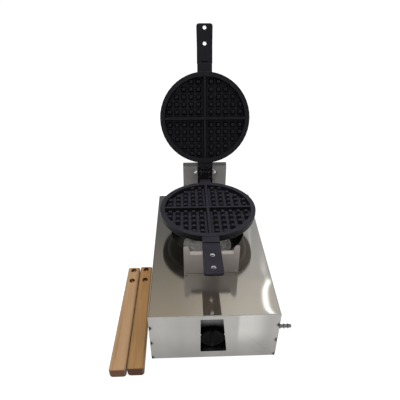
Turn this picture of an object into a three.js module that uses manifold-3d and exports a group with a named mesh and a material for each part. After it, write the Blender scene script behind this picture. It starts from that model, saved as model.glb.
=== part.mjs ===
// A table-top gas waffle maker, in millimetres, +Z up, front towards -Y.
// The origin is the centre of the base plate's underside, and the two irons are drawn open.
import * as THREE from "three";
import { mergeVertices } from "three/addons/utils/BufferGeometryUtils.js";
import Module from "manifold-3d";

const wasm = await Module();
wasm.setup();

// Gaps and cuts shared by all pieces
const seam = 0.3; // between two pieces that touch
const running = 0.3; // round a pin, stem or shaft, on the radius
const overrun = 1; // how far a cutter runs past what it cuts

// Casing
const casingWidth = 250;
const casingLength = 420;
const casingHeight = 124;
const sheet = 1.2;
const bendRadius = 3;
const coverLip = 14; // inward flange under each side wall
const panelReturn = 12; // side flange of the front and rear panels
const returnMargin = 9; // from a return's end to the panel's end
const fireHoleRadius = 87;
const fireHoleCollar = 7; // turned-down edge round the fire hole

// Notches in the side edges of the front panel
const notchDepth = 3.4;
const notchHeight = 4;
const notchReach = 3; // how far back they run into the wall and the return
const notchLevelShares = [0.03, 0.4, 0.76]; // of the panel's height

// Window in the front panel
const windowLeft = -26.5;
const windowBottomWidth = 52;
const windowTopWidth = 42.5;
const windowBottom = 18.5;
const windowDrop = 9.5; // of its top edge below the panel's
const windowCorner = 3;
const nibDepth = 1.7;
const nibHeight = 5;
const nibDrop = 43; // below the window's top edge
const flapDrop = 5; // the inward flap below the window's top edge
const flapReach = 4;

// Vents in the rear panel
const ventCount = 9;
const ventWidth = 5;
const ventHeight = 58;
const ventPitch = 17;
const ventBottom = 34;

// Feet
const footRadius = 8;
const footHeight = 3.5;
const footNeckRadius = 3.4;
const footBarbRadius = 5;
const footBarb = 2;
const footInset = 12.5;

// Irons
const ironCentreY = 49;
const axisHeight = 70; // of the closed irons' parting plane above the casing
const ironRadius = 111;
const rimWidth = 11; // from the rim's edge to the recess
const rimThickness = 8;
const grooveDepth = 7; // of the groove under the rim
const grooveHeight = 3;
const bandInset = 2; // of the band under the groove, from the rim's edge
const bandThickness = 6;
const panInset = 13; // of the pan under the band, from the rim's edge
const panDepth = 21;
const panDraft = 5;
const recessDraft = 2;
const recessDepth = 11;
const partingGap = 0.4;
const studPitch = 17.9;
const firstStud = 15.6;
const studBase = 12.4;
const studTop = 6.6;
const studDrop = 1.4; // below the rim
const dividerTop = 5.6;
const dividerBase = 9;
const dividerDrop = 0.6;

// Flat bar of each iron
const barLength = 107; // beyond the rim
const barRootWidth = 35.7;
const barEndWidth = 38.6;
const barThickness = 6;
const barDrop = 4; // of its inner face behind the parting plane
const barCorner = 7;
const barHoleRadius = 4.2;
const lowerHoleFromEnd = 17;
const upperHoleFromEnd = 9;
const barHolePitch = 35.3;
const markFromRim = 22; // of the pocket across the upper bar
const markWidth = 15.5;
const markHeight = 3.5;
const markDepth = 2;
const tangLength = 17.5; // thick root between rim and bar
const tangDepth = 13;
const tangDrop = 1.2;
const rootOverlap = 14; // how far a neck or tang runs in under the rim

// Hinge of the irons
const pinSetback = 137.2; // from the irons' centre
const pinRise = 16.6; // above the parting plane
const pinRadius = 4;
const knuckleRadius = 8.5;
const knuckleWidth = 20; // middle knuckle, on the lower iron
const forkWidth = 38;
const forkSlack = 1; // each side of the middle knuckle
const neckWidth = 29;
const neckDepth = 16;
const neckClear = 4.7; // from the knuckle to the neck of the upper iron
const heelReach = 11;
const heelHalfWidth = 3.6;
const heelGap = 0.4;
const openAngle = 108;
const capNutRadius = 6.8;
const capNutLength = 9;
const capNutBore = 5;
const capNutRim = 3; // straight part before the dome

// Swivel at the rear bracket
const shaftRadius = 6;
const shaftHeadRadius = 9;
const shaftHeadLength = 2;
const bushRadius = 9;
const bushFlangeRadius = 11;
const bushFlange = 2.4;
const bushPlay = 0.7; // lets the bush rock in its hole
const bushTail = 3; // behind the bracket
const washerRadius = 12;
const washerThickness = 1.6;
const swivelNutRadius = 10;
const swivelNutLength = 7;
const shaftTip = 2;

// Brackets
const bracketSheet = 1.6;
const bracketWidth = 114;
const frontBracketY = -98;
const earHeight = 73;
const earWidth = 11;
const notchFloorWidth = 87.5;
const restGap = 0.3; // between the lower bar and the lip it lies on
const lipDepth = 6;
const lipFall = 3; // from the bracket's face to the lip's front edge
const bracketFoot = 12;
const cornerHoleRadius = 1.8; // in each lower corner
const cornerHoleInset = 5;
const rearBracketY = 199;
const rearBracketHeight = 97;
const rearBracketTopDepth = 12;
const rearBracketTopRise = 5; // of the top flange towards its rear edge
const rearBracketFoot = 9.5;
const rearBracketFlange = 7;

// Screws
const screwHeadRadius = 3.6;
const screwHeadHeight = 2;
const screwShankRadius = 1.8;
const screwLength = 5;
const bracketScrewInset = 20; // from the bracket's side edge
const sideScrewLevelShares = [0.2, 0.8]; // of the panel's height
const sideScrewSetback = 6; // behind the panel's inner face

// Burner
const burnerRadius = 62;
const burnerDrop = 43; // of its top below the casing's top
const burnerDepth = 37;
const burnerWall = 2;
const burnerShelf = 3;
const portPlateThickness = 2;
const portRingShares = [0.42, 0.63, 0.86]; // of the port plate's radius
const portCounts = [14, 22, 30];
const portLength = 8;
const portWidth = 2;
const portSlant = 38;
const tubeRise = 16; // of the mixing tube's axis above the burner's underside
const tubeRadius = 12;
const tubeWall = 1.5;
const socketWall = 1.5;
const socketLength = 12;
const bellRadius = 17;
const bellMouth = 6;
const bellTaper = 14;
const standWidth = 30;
const standSpan = 150;
const standFoot = 12;
const standSheet = 1.5;
const trayRadius = 68;
const trayDepth = 9;
const traySheet = 1;

// Gas tap and inlet
const tapX = -3;
const tapDrop = 7; // of the stem's axis below the mixing tube's
const tapBodyY = -189.4; // front face of the tap's body
const tapWidth = 26;
const tapDepth = 20;
const tapTop = 14; // above the stem's axis
const tapMargin = 6; // of the tap's body below its inlet boss
const neckRadius = 7;
const neckLength = 6;
const glandNutRadius = 9.5;
const glandNutLength = 3.6;
const stemRadius = 3;
const stemInBody = 6;
const stemInKnob = 8;
const knobRadius = 26.5;
const knobLength = 12;
const knobDraft = 2;
const knobRecess = 0.9; // behind the front panel's inner face
const knobBarWidth = 8;
const knobBarRelief = 3;
const tapBracketWidth = 58;
const tapBracketTop = 40; // above the stem's axis
const tapBracketFoot = 14;
const jetRadius = 5;
const jetHex = 6.5;
const jetHexLength = 8;
const jetLength = 26;
const jetNose = 5;
const jetNoseRadius = 3.2;
const jetBore = 1;
const shutterThickness = 1.5;
const shutterHoles = 5;
const shutterHoleRadius = 3.2;
const shutterHoleShare = 0.66; // of the shutter's radius
const inletRise = 3; // of the inlet's axis above the stem's
const bossRadius = 5.2;
const bossLength = 7;
const pipeRadius = 3.5;
const pipeBore = 2.2;
const pipeInsert = 5;
const nozzleY = -184;
const nozzleTail = 10; // inside the side wall
const nozzleTailRadius = 6;
const nozzleFlangeRadius = 8;
const nozzleFlange = 5.5;
const nozzleBarbs = 3;
const barbPitch = 7.8;
const barbRadius = 5;
const barbRoot = 3.7;
const nozzleBore = 2.4;
const nozzleNose = 3.3;
const lockNutRadius = 10;
const lockNutLength = 5;

// Loose wooden grips
const gripLength = 281;
const gripEndWidth = 32.5;
const gripHoleEndWidth = 28.5;
const gripHeight = 24;
const gripChamfer = 3;
const leftGripX = -184.3; // of its far end's middle
const rightGripX = -153.95;
const leftGripShift = -3.3; // of its near end, sideways
const rightGripShift = 0.8;
const leftGripFarY = 35;
const rightGripFarY = 37;
const gripHoleFromEnd = 9.5;
const gripBore = 4;
const gripCounterbore = 6.8;
const gripCounterboreDepth = 6;
const gripBoltRadius = 3.6;
const gripBoltHead = 5.4;
const gripBoltHeadHeight = 4.2;
const gripNutRadius = 5.8;
const gripNutHeight = 4;

// Facets
const fineSides = 48;
const mediumSides = 24;
const smallSides = 12;
const arcSteps = 3;

// Places that follow from the sizes above
const halfWidth = casingWidth / 2;
const halfLength = casingLength / 2;
const panelTop = casingHeight - sheet - seam;
const windowTop = panelTop - windowDrop;
const nibLevel = windowTop - nibDrop;
const wallInside = halfWidth - sheet;
const recessRadius = ironRadius - rimWidth;
const partingZ = casingHeight + axisHeight;
const pinY = ironCentreY + pinSetback;
const burnerTop = casingHeight - burnerDrop;
const burnerBottom = burnerTop - burnerDepth;
const tubeHeight = burnerBottom + tubeRise;
const tapHeight = tubeHeight - tapDrop;
const inletHeight = tapHeight + inletRise;
const lipTop = partingZ - partingGap / 2 - barDrop - barThickness - restGap;
const tapBack = tapBodyY + tapDepth;
const frontPanelInside = -halfLength + sheet;
const rearPanelInside = halfLength - sheet;

// Solids from three.js geometries
function solidOf(geometry) {
  const bare = geometry.index ? geometry.toNonIndexed() : geometry.clone();
  bare.deleteAttribute("normal");
  bare.deleteAttribute("uv");
  const merged = mergeVertices(bare, 1e-4);
  const mesh = new wasm.Mesh({
    numProp: 3,
    vertProperties: new Float32Array(merged.attributes.position.array),
    triVerts: new Uint32Array(merged.index.array),
  });
  return new wasm.Manifold(mesh);
}

function geometryOf(solid) {
  const mesh = solid.getMesh();
  const geometry = new THREE.BufferGeometry();
  geometry.setAttribute("position", new THREE.BufferAttribute(new Float32Array(mesh.vertProperties), 3));
  geometry.setIndex(new THREE.BufferAttribute(new Uint32Array(mesh.triVerts), 1));
  geometry.computeVertexNormals();
  return geometry;
}

function joined(solids) {
  return solids.reduce((whole, next) => whole.add(next));
}

function cut(solid, cutters) {
  return cutters.reduce((whole, next) => whole.subtract(next), solid);
}

function block([x0, x1], [y0, y1], [z0, z1]) {
  const geometry = new THREE.BoxGeometry(x1 - x0, y1 - y0, z1 - z0);
  geometry.translate((x0 + x1) / 2, (y0 + y1) / 2, (z0 + z1) / 2);
  return solidOf(geometry);
}

const alongAxis = {
  x: new THREE.Matrix4().makeRotationZ(-Math.PI / 2),
  y: new THREE.Matrix4(),
  z: new THREE.Matrix4().makeRotationX(Math.PI / 2),
};

// A profile of [radius, distance along the axis] points turned about an axis through centre
function turned(profile, axis, centre, sides) {
  const points = profile.map(([radius, along]) => new THREE.Vector2(radius, along));
  const geometry = new THREE.LatheGeometry(points, sides);
  geometry.applyMatrix4(alongAxis[axis]);
  geometry.translate(...centre);
  return solidOf(geometry);
}

function rod(axis, radius, [from, to], centre, sides) {
  return turned([[0, from], [radius, from], [radius, to], [0, to]], axis, centre, sides);
}

// A ring or tube whose profile closes on itself
function ring(axis, inner, outer, [from, to], centre, sides) {
  return turned(
    [[inner, from], [outer, from], [outer, to], [inner, to], [inner, from]],
    axis,
    centre,
    sides,
  );
}

// A hexagon nut with a round bore
function nut(axis, bore, radius, [from, to], centre) {
  const hexagon = rod(axis, radius, [from, to], centre, 6);
  return hexagon.subtract(rod(axis, bore, [from - overrun, to + overrun], centre, smallSides));
}

const planes = {
  xy: [new THREE.Vector3(1, 0, 0), new THREE.Vector3(0, 1, 0), new THREE.Vector3(0, 0, 1)],
  xz: [new THREE.Vector3(1, 0, 0), new THREE.Vector3(0, 0, 1), new THREE.Vector3(0, -1, 0)],
  yz: [new THREE.Vector3(0, 1, 0), new THREE.Vector3(0, 0, 1), new THREE.Vector3(1, 0, 0)],
};

// An outline in the named plane, given its thickness between two places on the third axis
function extruded(shape, plane, [from, to], curveSegments = arcSteps) {
  const geometry = new THREE.ExtrudeGeometry(shape, {
    depth: to - from,
    bevelEnabled: false,
    curveSegments,
  });
  geometry.translate(0, 0, plane === "xz" ? -to : from);
  geometry.applyMatrix4(new THREE.Matrix4().makeBasis(...planes[plane]));
  return solidOf(geometry);
}

function outline(points) {
  return new THREE.Shape(points.map(([u, v]) => new THREE.Vector2(u, v)));
}

const group = new THREE.Group();

function place(name, solid, finish) {
  const mesh = new THREE.Mesh(geometryOf(solid), new THREE.MeshStandardMaterial(finish));
  mesh.name = name;
  group.add(mesh);
}

const polishedSteel = { color: 0xc9c9c6, roughness: 0.12, metalness: 1 };
const brushedSteel = { color: 0xb9b9b7, roughness: 0.35, metalness: 1 };
const greySteel = { color: 0x8d8d8a, roughness: 0.5, metalness: 0.9 };
const castIron = { color: 0x1f1f21, roughness: 0.55, metalness: 0.3 };
const brass = { color: 0xb08d4a, roughness: 0.35, metalness: 1 };
const blackPlastic = { color: 0x121214, roughness: 0.35, metalness: 0 };
const rubber = { color: 0x161616, roughness: 0.9, metalness: 0 };
const beech = { color: 0xb98a5c, roughness: 0.6, metalness: 0 };

const mirrored = [
  ["left", -1],
  ["right", 1],
];
const screwBore = screwShankRadius + running;

// A pan-head screw whose head bears on the face at the origin and points along its axis
function screw(axis, centre, side) {
  const profile = [
    [0, -screwLength],
    [screwShankRadius, -screwLength],
    [screwShankRadius, seam],
    [screwHeadRadius, seam],
    [screwHeadRadius, screwHeadHeight / 2],
    [screwHeadRadius / 2, screwHeadHeight],
    [0, screwHeadHeight],
  ];
  const points = side > 0 ? profile : profile.map(([radius, along]) => [radius, -along]).reverse();
  return turned(points, axis, centre, smallSides);
}

const footPlaces = [
  ["front_left", -1, -1],
  ["front_right", 1, -1],
  ["rear_left", -1, 1],
  ["rear_right", 1, 1],
].map(([name, sx, sy]) => [name, sx * (halfWidth - footInset), sy * (halfLength - footInset)]);

const frontFootY = frontBracketY + bracketFoot / 2 + bracketSheet;
const rearFootY = rearBracketY + bracketSheet + (rearBracketFoot - bracketSheet) / 2;
const bracketScrewX = bracketWidth / 2 - bracketScrewInset;
const sideScrewY = rearPanelInside - sideScrewSetback;
const lipFloor = sheet + seam;

// Wedges for the notches in one side edge, between two places along y
function notchWedges(side, span) {
  return notchLevelShares.map((share) => {
    const level = share * panelTop;
    const wedge = outline([
      [side * (halfWidth + overrun), level - notchHeight / 2],
      [side * halfWidth, level - notchHeight / 2],
      [side * (halfWidth - notchDepth), level],
      [side * halfWidth, level + notchHeight / 2],
      [side * (halfWidth + overrun), level + notchHeight / 2],
    ]);
    return extruded(wedge, "xz", span);
  });
}
const notchSpan = [-halfLength - overrun, frontPanelInside + notchReach];

// Casing: one sheet bent over the top and both sides, with lips turned in above the base plate
function topCover() {
  const inner = bendRadius - sheet;
  const shape = new THREE.Shape();
  shape.moveTo(halfWidth - coverLip, lipFloor);
  shape.lineTo(halfWidth, lipFloor);
  shape.lineTo(halfWidth, casingHeight - bendRadius);
  shape.absarc(halfWidth - bendRadius, casingHeight - bendRadius, bendRadius, 0, Math.PI / 2, false);
  shape.lineTo(bendRadius - halfWidth, casingHeight);
  shape.absarc(bendRadius - halfWidth, casingHeight - bendRadius, bendRadius, Math.PI / 2, Math.PI, false);
  shape.lineTo(-halfWidth, lipFloor);
  shape.lineTo(coverLip - halfWidth, lipFloor);
  shape.lineTo(coverLip - halfWidth, lipFloor + sheet);
  shape.lineTo(-wallInside, lipFloor + sheet);
  shape.lineTo(-wallInside, casingHeight - bendRadius);
  shape.absarc(bendRadius - halfWidth, casingHeight - bendRadius, inner, Math.PI, Math.PI / 2, true);
  shape.lineTo(halfWidth - bendRadius, casingHeight - sheet);
  shape.absarc(halfWidth - bendRadius, casingHeight - bendRadius, inner, Math.PI / 2, 0, true);
  shape.lineTo(wallInside, lipFloor + sheet);
  shape.lineTo(halfWidth - coverLip, lipFloor + sheet);
  const skin = extruded(shape, "xz", [-halfLength, halfLength]);
  const panelRoom = [-halfLength - overrun, frontPanelInside + seam];
  const rearRoom = [rearPanelInside - seam, halfLength + overrun];
  const sideways = [-halfWidth - overrun, halfWidth + overrun];
  const below = [lipFloor - overrun, panelTop + seam];
  const holes = [
    block(sideways, panelRoom, below),
    block(sideways, rearRoom, below),
    rod("z", fireHoleRadius, [casingHeight - overrun - sheet, casingHeight + overrun],
      [0, ironCentreY, 0], fineSides),
    rod("x", nozzleTailRadius + seam, [wallInside - overrun, halfWidth + overrun],
      [0, nozzleY, inletHeight], smallSides),
    ...mirrored.flatMap(([, side]) => notchWedges(side, notchSpan)),
  ];
  for (const [, x, y] of footPlaces)
    holes.push(rod("z", footNeckRadius + seam, [lipFloor - overrun, lipFloor + sheet + overrun],
      [x, y, 0], smallSides));
  for (const y of [frontFootY, rearFootY])
    for (const [, side] of mirrored)
      holes.push(rod("z", screwBore, [casingHeight - sheet - overrun, casingHeight + overrun],
        [side * bracketScrewX, y, 0], smallSides));
  for (const share of sideScrewLevelShares)
    for (const [, side] of mirrored)
      holes.push(rod("x", screwBore, [-overrun - sheet, overrun],
        [side * halfWidth + (side < 0 ? sheet : 0), sideScrewY, share * panelTop], smallSides));
  const collar = ring("z", fireHoleRadius, fireHoleRadius + sheet,
    [casingHeight - fireHoleCollar, casingHeight - sheet / 2], [0, ironCentreY, 0], fineSides);
  return cut(skin, holes).add(collar);
}
place("top_cover", topCover(), polishedSteel);

// Front and rear panels: flat faces with a return bent back inside each side wall.
// The front returns are spot-welded to the walls, and the rear ones take the side screws.
function panelReturns(inside, direction) {
  const outer = wallInside - seam;
  const reach = inside + direction * panelReturn;
  const depth = [inside - direction * sheet / 2, reach].sort((a, b) => a - b);
  const height = [lipFloor + sheet + returnMargin, panelTop - returnMargin];
  return mirrored.map(([, side]) => {
    const xs = [side * outer, side * (outer - sheet)].sort((a, b) => a - b);
    return block(xs, depth, height);
  });
}

function frontPanel() {
  const shape = outline([
    [-halfWidth, 0],
    [halfWidth, 0],
    [halfWidth, panelTop],
    [-halfWidth, panelTop],
  ]);
  const opening = new THREE.Path();
  const right = windowLeft + windowBottomWidth;
  const slope = (windowBottomWidth - windowTopWidth) / (windowTop - windowBottom);
  const rightAt = (z) => right - slope * (z - windowBottom);
  opening.moveTo(windowLeft + windowCorner, windowBottom);
  opening.lineTo(right - windowCorner, windowBottom);
  const cornerTop = windowBottom + windowCorner;
  opening.quadraticCurveTo(right, windowBottom, rightAt(cornerTop), cornerTop);
  opening.lineTo(rightAt(nibLevel - nibHeight / 2), nibLevel - nibHeight / 2);
  opening.lineTo(rightAt(nibLevel) - nibDepth, nibLevel);
  opening.lineTo(rightAt(nibLevel + nibHeight / 2), nibLevel + nibHeight / 2);
  opening.lineTo(rightAt(windowTop), windowTop);
  opening.lineTo(windowLeft, windowTop);
  opening.lineTo(windowLeft, nibLevel + nibHeight / 2);
  opening.lineTo(windowLeft + nibDepth, nibLevel);
  opening.lineTo(windowLeft, nibLevel - nibHeight / 2);
  opening.lineTo(windowLeft, cornerTop);
  opening.quadraticCurveTo(windowLeft, windowBottom, windowLeft + windowCorner, windowBottom);
  shape.holes.push(opening);
  const face = extruded(shape, "xz", [-halfLength, frontPanelInside]);
  const flap = outline([
    [-halfLength, windowTop],
    [frontPanelInside + flapReach, windowTop - flapDrop - sheet],
    [frontPanelInside + flapReach, windowTop - flapDrop],
    [frontPanelInside, windowTop + sheet],
    [-halfLength, windowTop + sheet],
  ]);
  const tongue = extruded(flap, "yz", [windowLeft, rightAt(windowTop)]);
  const notches = mirrored.flatMap(([, side]) => notchWedges(side, notchSpan));
  return cut(joined([face, tongue, ...panelReturns(frontPanelInside, 1)]), notches);
}
place("front_panel", frontPanel(), brushedSteel);

function rearPanel() {
  const face = block([-halfWidth, halfWidth], [rearPanelInside, halfLength], [0, panelTop]);
  const vents = [];
  for (let i = 0; i < ventCount; i++) {
    const x = (i - (ventCount - 1) / 2) * ventPitch;
    vents.push(block([x - ventWidth / 2, x + ventWidth / 2],
      [rearPanelInside - overrun, halfLength + overrun], [ventBottom, ventBottom + ventHeight]));
  }
  const across = [-halfWidth + sheet, halfWidth - sheet];
  const screwHoles = sideScrewLevelShares.map((share) =>
    rod("x", screwBore, across, [0, sideScrewY, share * panelTop], smallSides));
  return cut(joined([cut(face, vents), ...panelReturns(rearPanelInside, -1)]), screwHoles);
}
place("rear_panel", rearPanel(), brushedSteel);

function basePlate() {
  const plate = block([seam - wallInside, wallInside - seam],
    [frontPanelInside + seam, rearPanelInside - seam], [0, sheet]);
  const holes = footPlaces.map(([, x, y]) =>
    rod("z", footNeckRadius + seam, [-overrun, sheet + overrun], [x, y, 0], smallSides));
  return cut(plate, holes);
}
place("base_plate", basePlate(), greySteel);

// Push-in rubber feet that also hold the base plate to the cover's lips
for (const [name, x, y] of footPlaces) {
  const top = lipFloor + sheet + seam;
  const profile = [
    [0, -footHeight],
    [footRadius - footHeight / 2, -footHeight],
    [footRadius, -footHeight / 2],
    [footRadius, -seam],
    [footNeckRadius, -seam],
    [footNeckRadius, top],
    [footBarbRadius, top],
    [footNeckRadius, top + footBarb],
    [0, top + footBarb],
  ];
  place("foot_" + name, turned(profile, "z", [x, y, 0], smallSides), rubber);
}

for (const [index, share] of sideScrewLevelShares.entries())
  for (const [hand, side] of mirrored)
    place("side_screw_rear_" + hand + "_" + (index + 1),
      screw("x", [side * halfWidth, sideScrewY, share * panelTop], side), greySteel);

// Brackets on the casing: the front one is a rest for the flat bars, the rear one carries the swivel
const bracketBase = casingHeight + seam;
const bracketFootTop = bracketBase + bracketSheet;

function footFlange(front, depth) {
  const across = [-bracketWidth / 2, bracketWidth / 2];
  const flange = block(across, [front, front + depth], [bracketBase, bracketFootTop]);
  const holes = mirrored.map(([, side]) =>
    rod("z", screwBore, [bracketBase - overrun, bracketFootTop + overrun],
      [side * bracketScrewX, front + bracketSheet + (depth - bracketSheet) / 2, 0], smallSides));
  return cut(flange, holes);
}

function frontBracket() {
  const half = bracketWidth / 2;
  const earTop = casingHeight + earHeight;
  const earRadius = earWidth / 2;
  const shape = new THREE.Shape();
  shape.moveTo(-half, bracketBase);
  shape.lineTo(half, bracketBase);
  shape.lineTo(half, earTop - earRadius);
  shape.absarc(half - earRadius, earTop - earRadius, earRadius, 0, Math.PI, false);
  shape.lineTo(notchFloorWidth / 2, lipTop);
  shape.lineTo(-notchFloorWidth / 2, lipTop);
  shape.lineTo(earWidth - half, earTop - earRadius);
  shape.absarc(earRadius - half, earTop - earRadius, earRadius, 0, Math.PI, false);
  for (const [, side] of mirrored) {
    const hole = new THREE.Path();
    hole.absarc(side * (half - cornerHoleInset), bracketFootTop + cornerHoleInset, cornerHoleRadius,
      0, 2 * Math.PI, false);
    shape.holes.push(hole);
  }
  const face = extruded(shape, "xz", [frontBracketY, frontBracketY + bracketSheet], arcSteps * 2);
  const section = outline([
    [frontBracketY + bracketSheet / 2, lipTop - bracketSheet],
    [frontBracketY + bracketSheet / 2, lipTop],
    [frontBracketY, lipTop],
    [frontBracketY - lipDepth, lipTop - lipFall],
    [frontBracketY - lipDepth, lipTop - lipFall - bracketSheet],
    [frontBracketY, lipTop - bracketSheet],
  ]);
  const lip = extruded(section, "yz", [-notchFloorWidth / 2, notchFloorWidth / 2]);
  return joined([face, lip, footFlange(frontBracketY, bracketSheet + bracketFoot)]);
}
place("front_bracket", frontBracket(), brushedSteel);

function rearBracket() {
  const half = bracketWidth / 2;
  const top = casingHeight + rearBracketHeight;
  const back = rearBracketY + bracketSheet;
  const face = block([-half, half], [rearBracketY, back], [bracketBase, top]);
  const bearing = rod("y", bushRadius + bushPlay, [rearBracketY - overrun, back + overrun],
    [0, 0, partingZ], mediumSides);
  const slope = rearBracketTopRise / rearBracketTopDepth;
  const edge = rearBracketY + rearBracketTopDepth;
  const topFlange = outline([
    [rearBracketY, top - bracketSheet],
    [edge, top + rearBracketTopRise - bracketSheet],
    [edge, top + rearBracketTopRise],
    [rearBracketY, top],
  ]);
  const sideFlange = outline([
    [rearBracketY, bracketBase],
    [rearBracketY + rearBracketFlange, bracketBase],
    [rearBracketY + rearBracketFlange, top + slope * rearBracketFlange - bracketSheet / 2],
    [rearBracketY, top - bracketSheet / 2],
  ]);
  const parts = [
    cut(face, [bearing]),
    extruded(topFlange, "yz", [-half, half]),
    footFlange(rearBracketY, rearBracketFoot),
  ];
  for (const [, side] of mirrored) {
    const xs = [side * half, side * (half - bracketSheet)].sort((a, b) => a - b);
    parts.push(extruded(sideFlange, "yz", xs));
  }
  return joined(parts);
}
place("rear_bracket", rearBracket(), brushedSteel);

for (const [end, y] of [["front", frontFootY], ["rear", rearFootY]])
  for (const [hand, side] of mirrored)
    place(end + "_bracket_screw_" + hand,
      screw("z", [side * bracketScrewX, y, bracketFootTop], 1), greySteel);

// Irons, each in its own frame: hinge towards +y, mating face at z = 0 looking up, body below
function stud(x, y) {
  const height = recessDepth - studDrop + overrun;
  const spread = (studBase - studTop) / (recessDepth - studDrop);
  const base = studTop + spread * height;
  const geometry = new THREE.CylinderGeometry(studTop / Math.SQRT2, base / Math.SQRT2, height, 4, 1);
  geometry.rotateY(Math.PI / 4);
  geometry.rotateX(Math.PI / 2);
  geometry.translate(x, y, -studDrop - height / 2);
  return solidOf(geometry);
}

function divider() {
  const length = recessRadius + overrun;
  const depth = recessDepth + overrun;
  const shape = outline([
    [-dividerBase / 2, -depth],
    [dividerBase / 2, -depth],
    [dividerTop / 2, -dividerDrop],
    [-dividerTop / 2, -dividerDrop],
  ]);
  return extruded(shape, "xz", [-length, length]);
}

function flatBar(holeFromEnd) {
  const root = -ironRadius - tangLength + overrun;
  const end = -ironRadius - barLength;
  const shape = new THREE.Shape();
  shape.moveTo(-barRootWidth / 2, root);
  shape.lineTo(-barEndWidth / 2, end + barCorner);
  shape.quadraticCurveTo(-barEndWidth / 2, end, barCorner - barEndWidth / 2, end);
  shape.lineTo(barEndWidth / 2 - barCorner, end);
  shape.quadraticCurveTo(barEndWidth / 2, end, barEndWidth / 2, end + barCorner);
  shape.lineTo(barRootWidth / 2, root);
  for (const from of [holeFromEnd, holeFromEnd + barHolePitch]) {
    const hole = new THREE.Path();
    hole.absarc(0, end + from, barHoleRadius, 0, 2 * Math.PI, true);
    shape.holes.push(hole);
  }
  return extruded(shape, "xy", [-barDrop - barThickness, -barDrop], arcSteps * 2);
}

function ironBlank(holeFromEnd) {
  const bandTop = -rimThickness - grooveHeight;
  const bandBottom = bandTop - bandThickness;
  const panRadius = ironRadius - panInset;
  const casting = turned([
    [0, -panDepth],
    [panRadius - panDraft, -panDepth],
    [panRadius, bandBottom],
    [ironRadius - bandInset, bandBottom],
    [ironRadius - bandInset, bandTop],
    [ironRadius - grooveDepth, bandTop],
    [ironRadius - grooveDepth, -rimThickness],
    [ironRadius, -rimThickness],
    [ironRadius, 0],
    [0, 0],
  ], "z", [0, 0, 0], fineSides);
  const recess = turned([
    [0, -recessDepth],
    [recessRadius - recessDraft, -recessDepth],
    [recessRadius, 0],
    [recessRadius, overrun],
    [0, overrun],
  ], "z", [0, 0, 0], fineSides);
  const inside = [];
  const rows = Math.floor((recessRadius - firstStud) / studPitch) + 1;
  for (let i = 0; i < rows; i++)
    for (let j = 0; j < rows; j++) {
      const x = firstStud + i * studPitch;
      const y = firstStud + j * studPitch;
      if (Math.hypot(x, y) > recessRadius - studTop / 2) continue;
      inside.push(stud(x, y), stud(-x, y), stud(x, -y), stud(-x, -y));
    }
  inside.push(divider(), divider().rotate([0, 0, 90]));
  const tang = block([-barRootWidth / 2, barRootWidth / 2],
    [-ironRadius - tangLength, rootOverlap - ironRadius], [-tangDepth, -tangDrop]);
  const hollow = rod("z", recessRadius - recessDraft, [-recessDepth, overrun], [0, 0, 0], fineSides);
  return joined([cut(casting, [recess]), ...inside, cut(tang, [hollow]), flatBar(holeFromEnd)]);
}

const neckEnd = pinSetback - knuckleRadius - neckClear;

function lowerIron() {
  const rise = pinRise + partingGap / 2;
  const neck = block([-neckWidth / 2, neckWidth / 2],
    [ironRadius - rootOverlap, pinSetback], [-neckDepth, -tangDrop]);
  const hollow = rod("z", recessRadius, [-recessDepth, overrun], [0, 0, 0], fineSides);
  const middle = [-knuckleWidth / 2, knuckleWidth / 2];
  const post = block(middle, [pinSetback - knuckleRadius, pinSetback + knuckleRadius], [-neckDepth, rise]);
  const knuckle = rod("x", knuckleRadius, middle, [0, pinSetback, rise], mediumSides);
  const lean = openAngle * Math.PI / 180 - Math.PI / 2;
  const shoulderTop = rise - heelReach - heelHalfWidth * Math.cos(lean) / 2;
  const shoulder = block([-forkWidth / 2, forkWidth / 2],
    [pinSetback - knuckleRadius, pinSetback - heelGap], [-neckDepth, shoulderTop]);
  const bore = rod("x", pinRadius + running, [-knuckleWidth, knuckleWidth],
    [0, pinSetback, rise], smallSides);
  const knuckleBack = pinSetback + knuckleRadius;
  const shaftRoom = rod("y", shaftHeadRadius, [knuckleBack - shaftHeadLength, knuckleBack + overrun],
    [0, 0, partingGap / 2], mediumSides);
  const blank = ironBlank(lowerHoleFromEnd);
  return cut(joined([blank, cut(neck, [hollow]), post, knuckle, shoulder]), [bore, shaftRoom]);
}

function upperIron() {
  const rise = -pinRise + partingGap / 2;
  const neck = block([-forkWidth / 2, forkWidth / 2],
    [ironRadius - rootOverlap, neckEnd], [-neckDepth, -tangDrop]);
  const hollow = rod("z", recessRadius, [-recessDepth, overrun], [0, 0, 0], fineSides);
  const parts = [ironBlank(upperHoleFromEnd), cut(neck, [hollow])];
  const inner = knuckleWidth / 2 + forkSlack;
  for (const [, side] of mirrored) {
    const xs = [side * inner, side * forkWidth / 2].sort((a, b) => a - b);
    const heel = block(xs, [pinSetback, pinSetback + heelReach],
      [rise - heelHalfWidth, rise + heelHalfWidth]);
    parts.push(
      block(xs, [neckEnd - overrun, pinSetback], [rise - knuckleRadius / 2, rise + knuckleRadius]),
      rod("x", knuckleRadius, xs, [0, pinSetback, rise], mediumSides),
      heel,
    );
  }
  const bore = rod("x", pinRadius + running, [-forkWidth, forkWidth],
    [0, pinSetback, rise], smallSides);
  const markY = -ironRadius - markFromRim;
  const mark = block([-markWidth / 2, markWidth / 2], [markY - markHeight / 2, markY + markHeight / 2],
    [-barDrop - markDepth, overrun - barDrop]);
  return cut(joined(parts), [bore, mark]);
}

place("lower_iron", lowerIron().translate([0, ironCentreY, partingZ - partingGap / 2]), castIron);

const closedUpper = upperIron().rotate([0, 180, 0]).translate([0, ironCentreY, partingZ + partingGap / 2]);
const toPin = [0, -pinY, -(partingZ + pinRise)];
const openUpper = closedUpper.translate(toPin).rotate([-openAngle, 0, 0]).translate(toPin.map((v) => -v));
place("upper_iron", openUpper, castIron);

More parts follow.
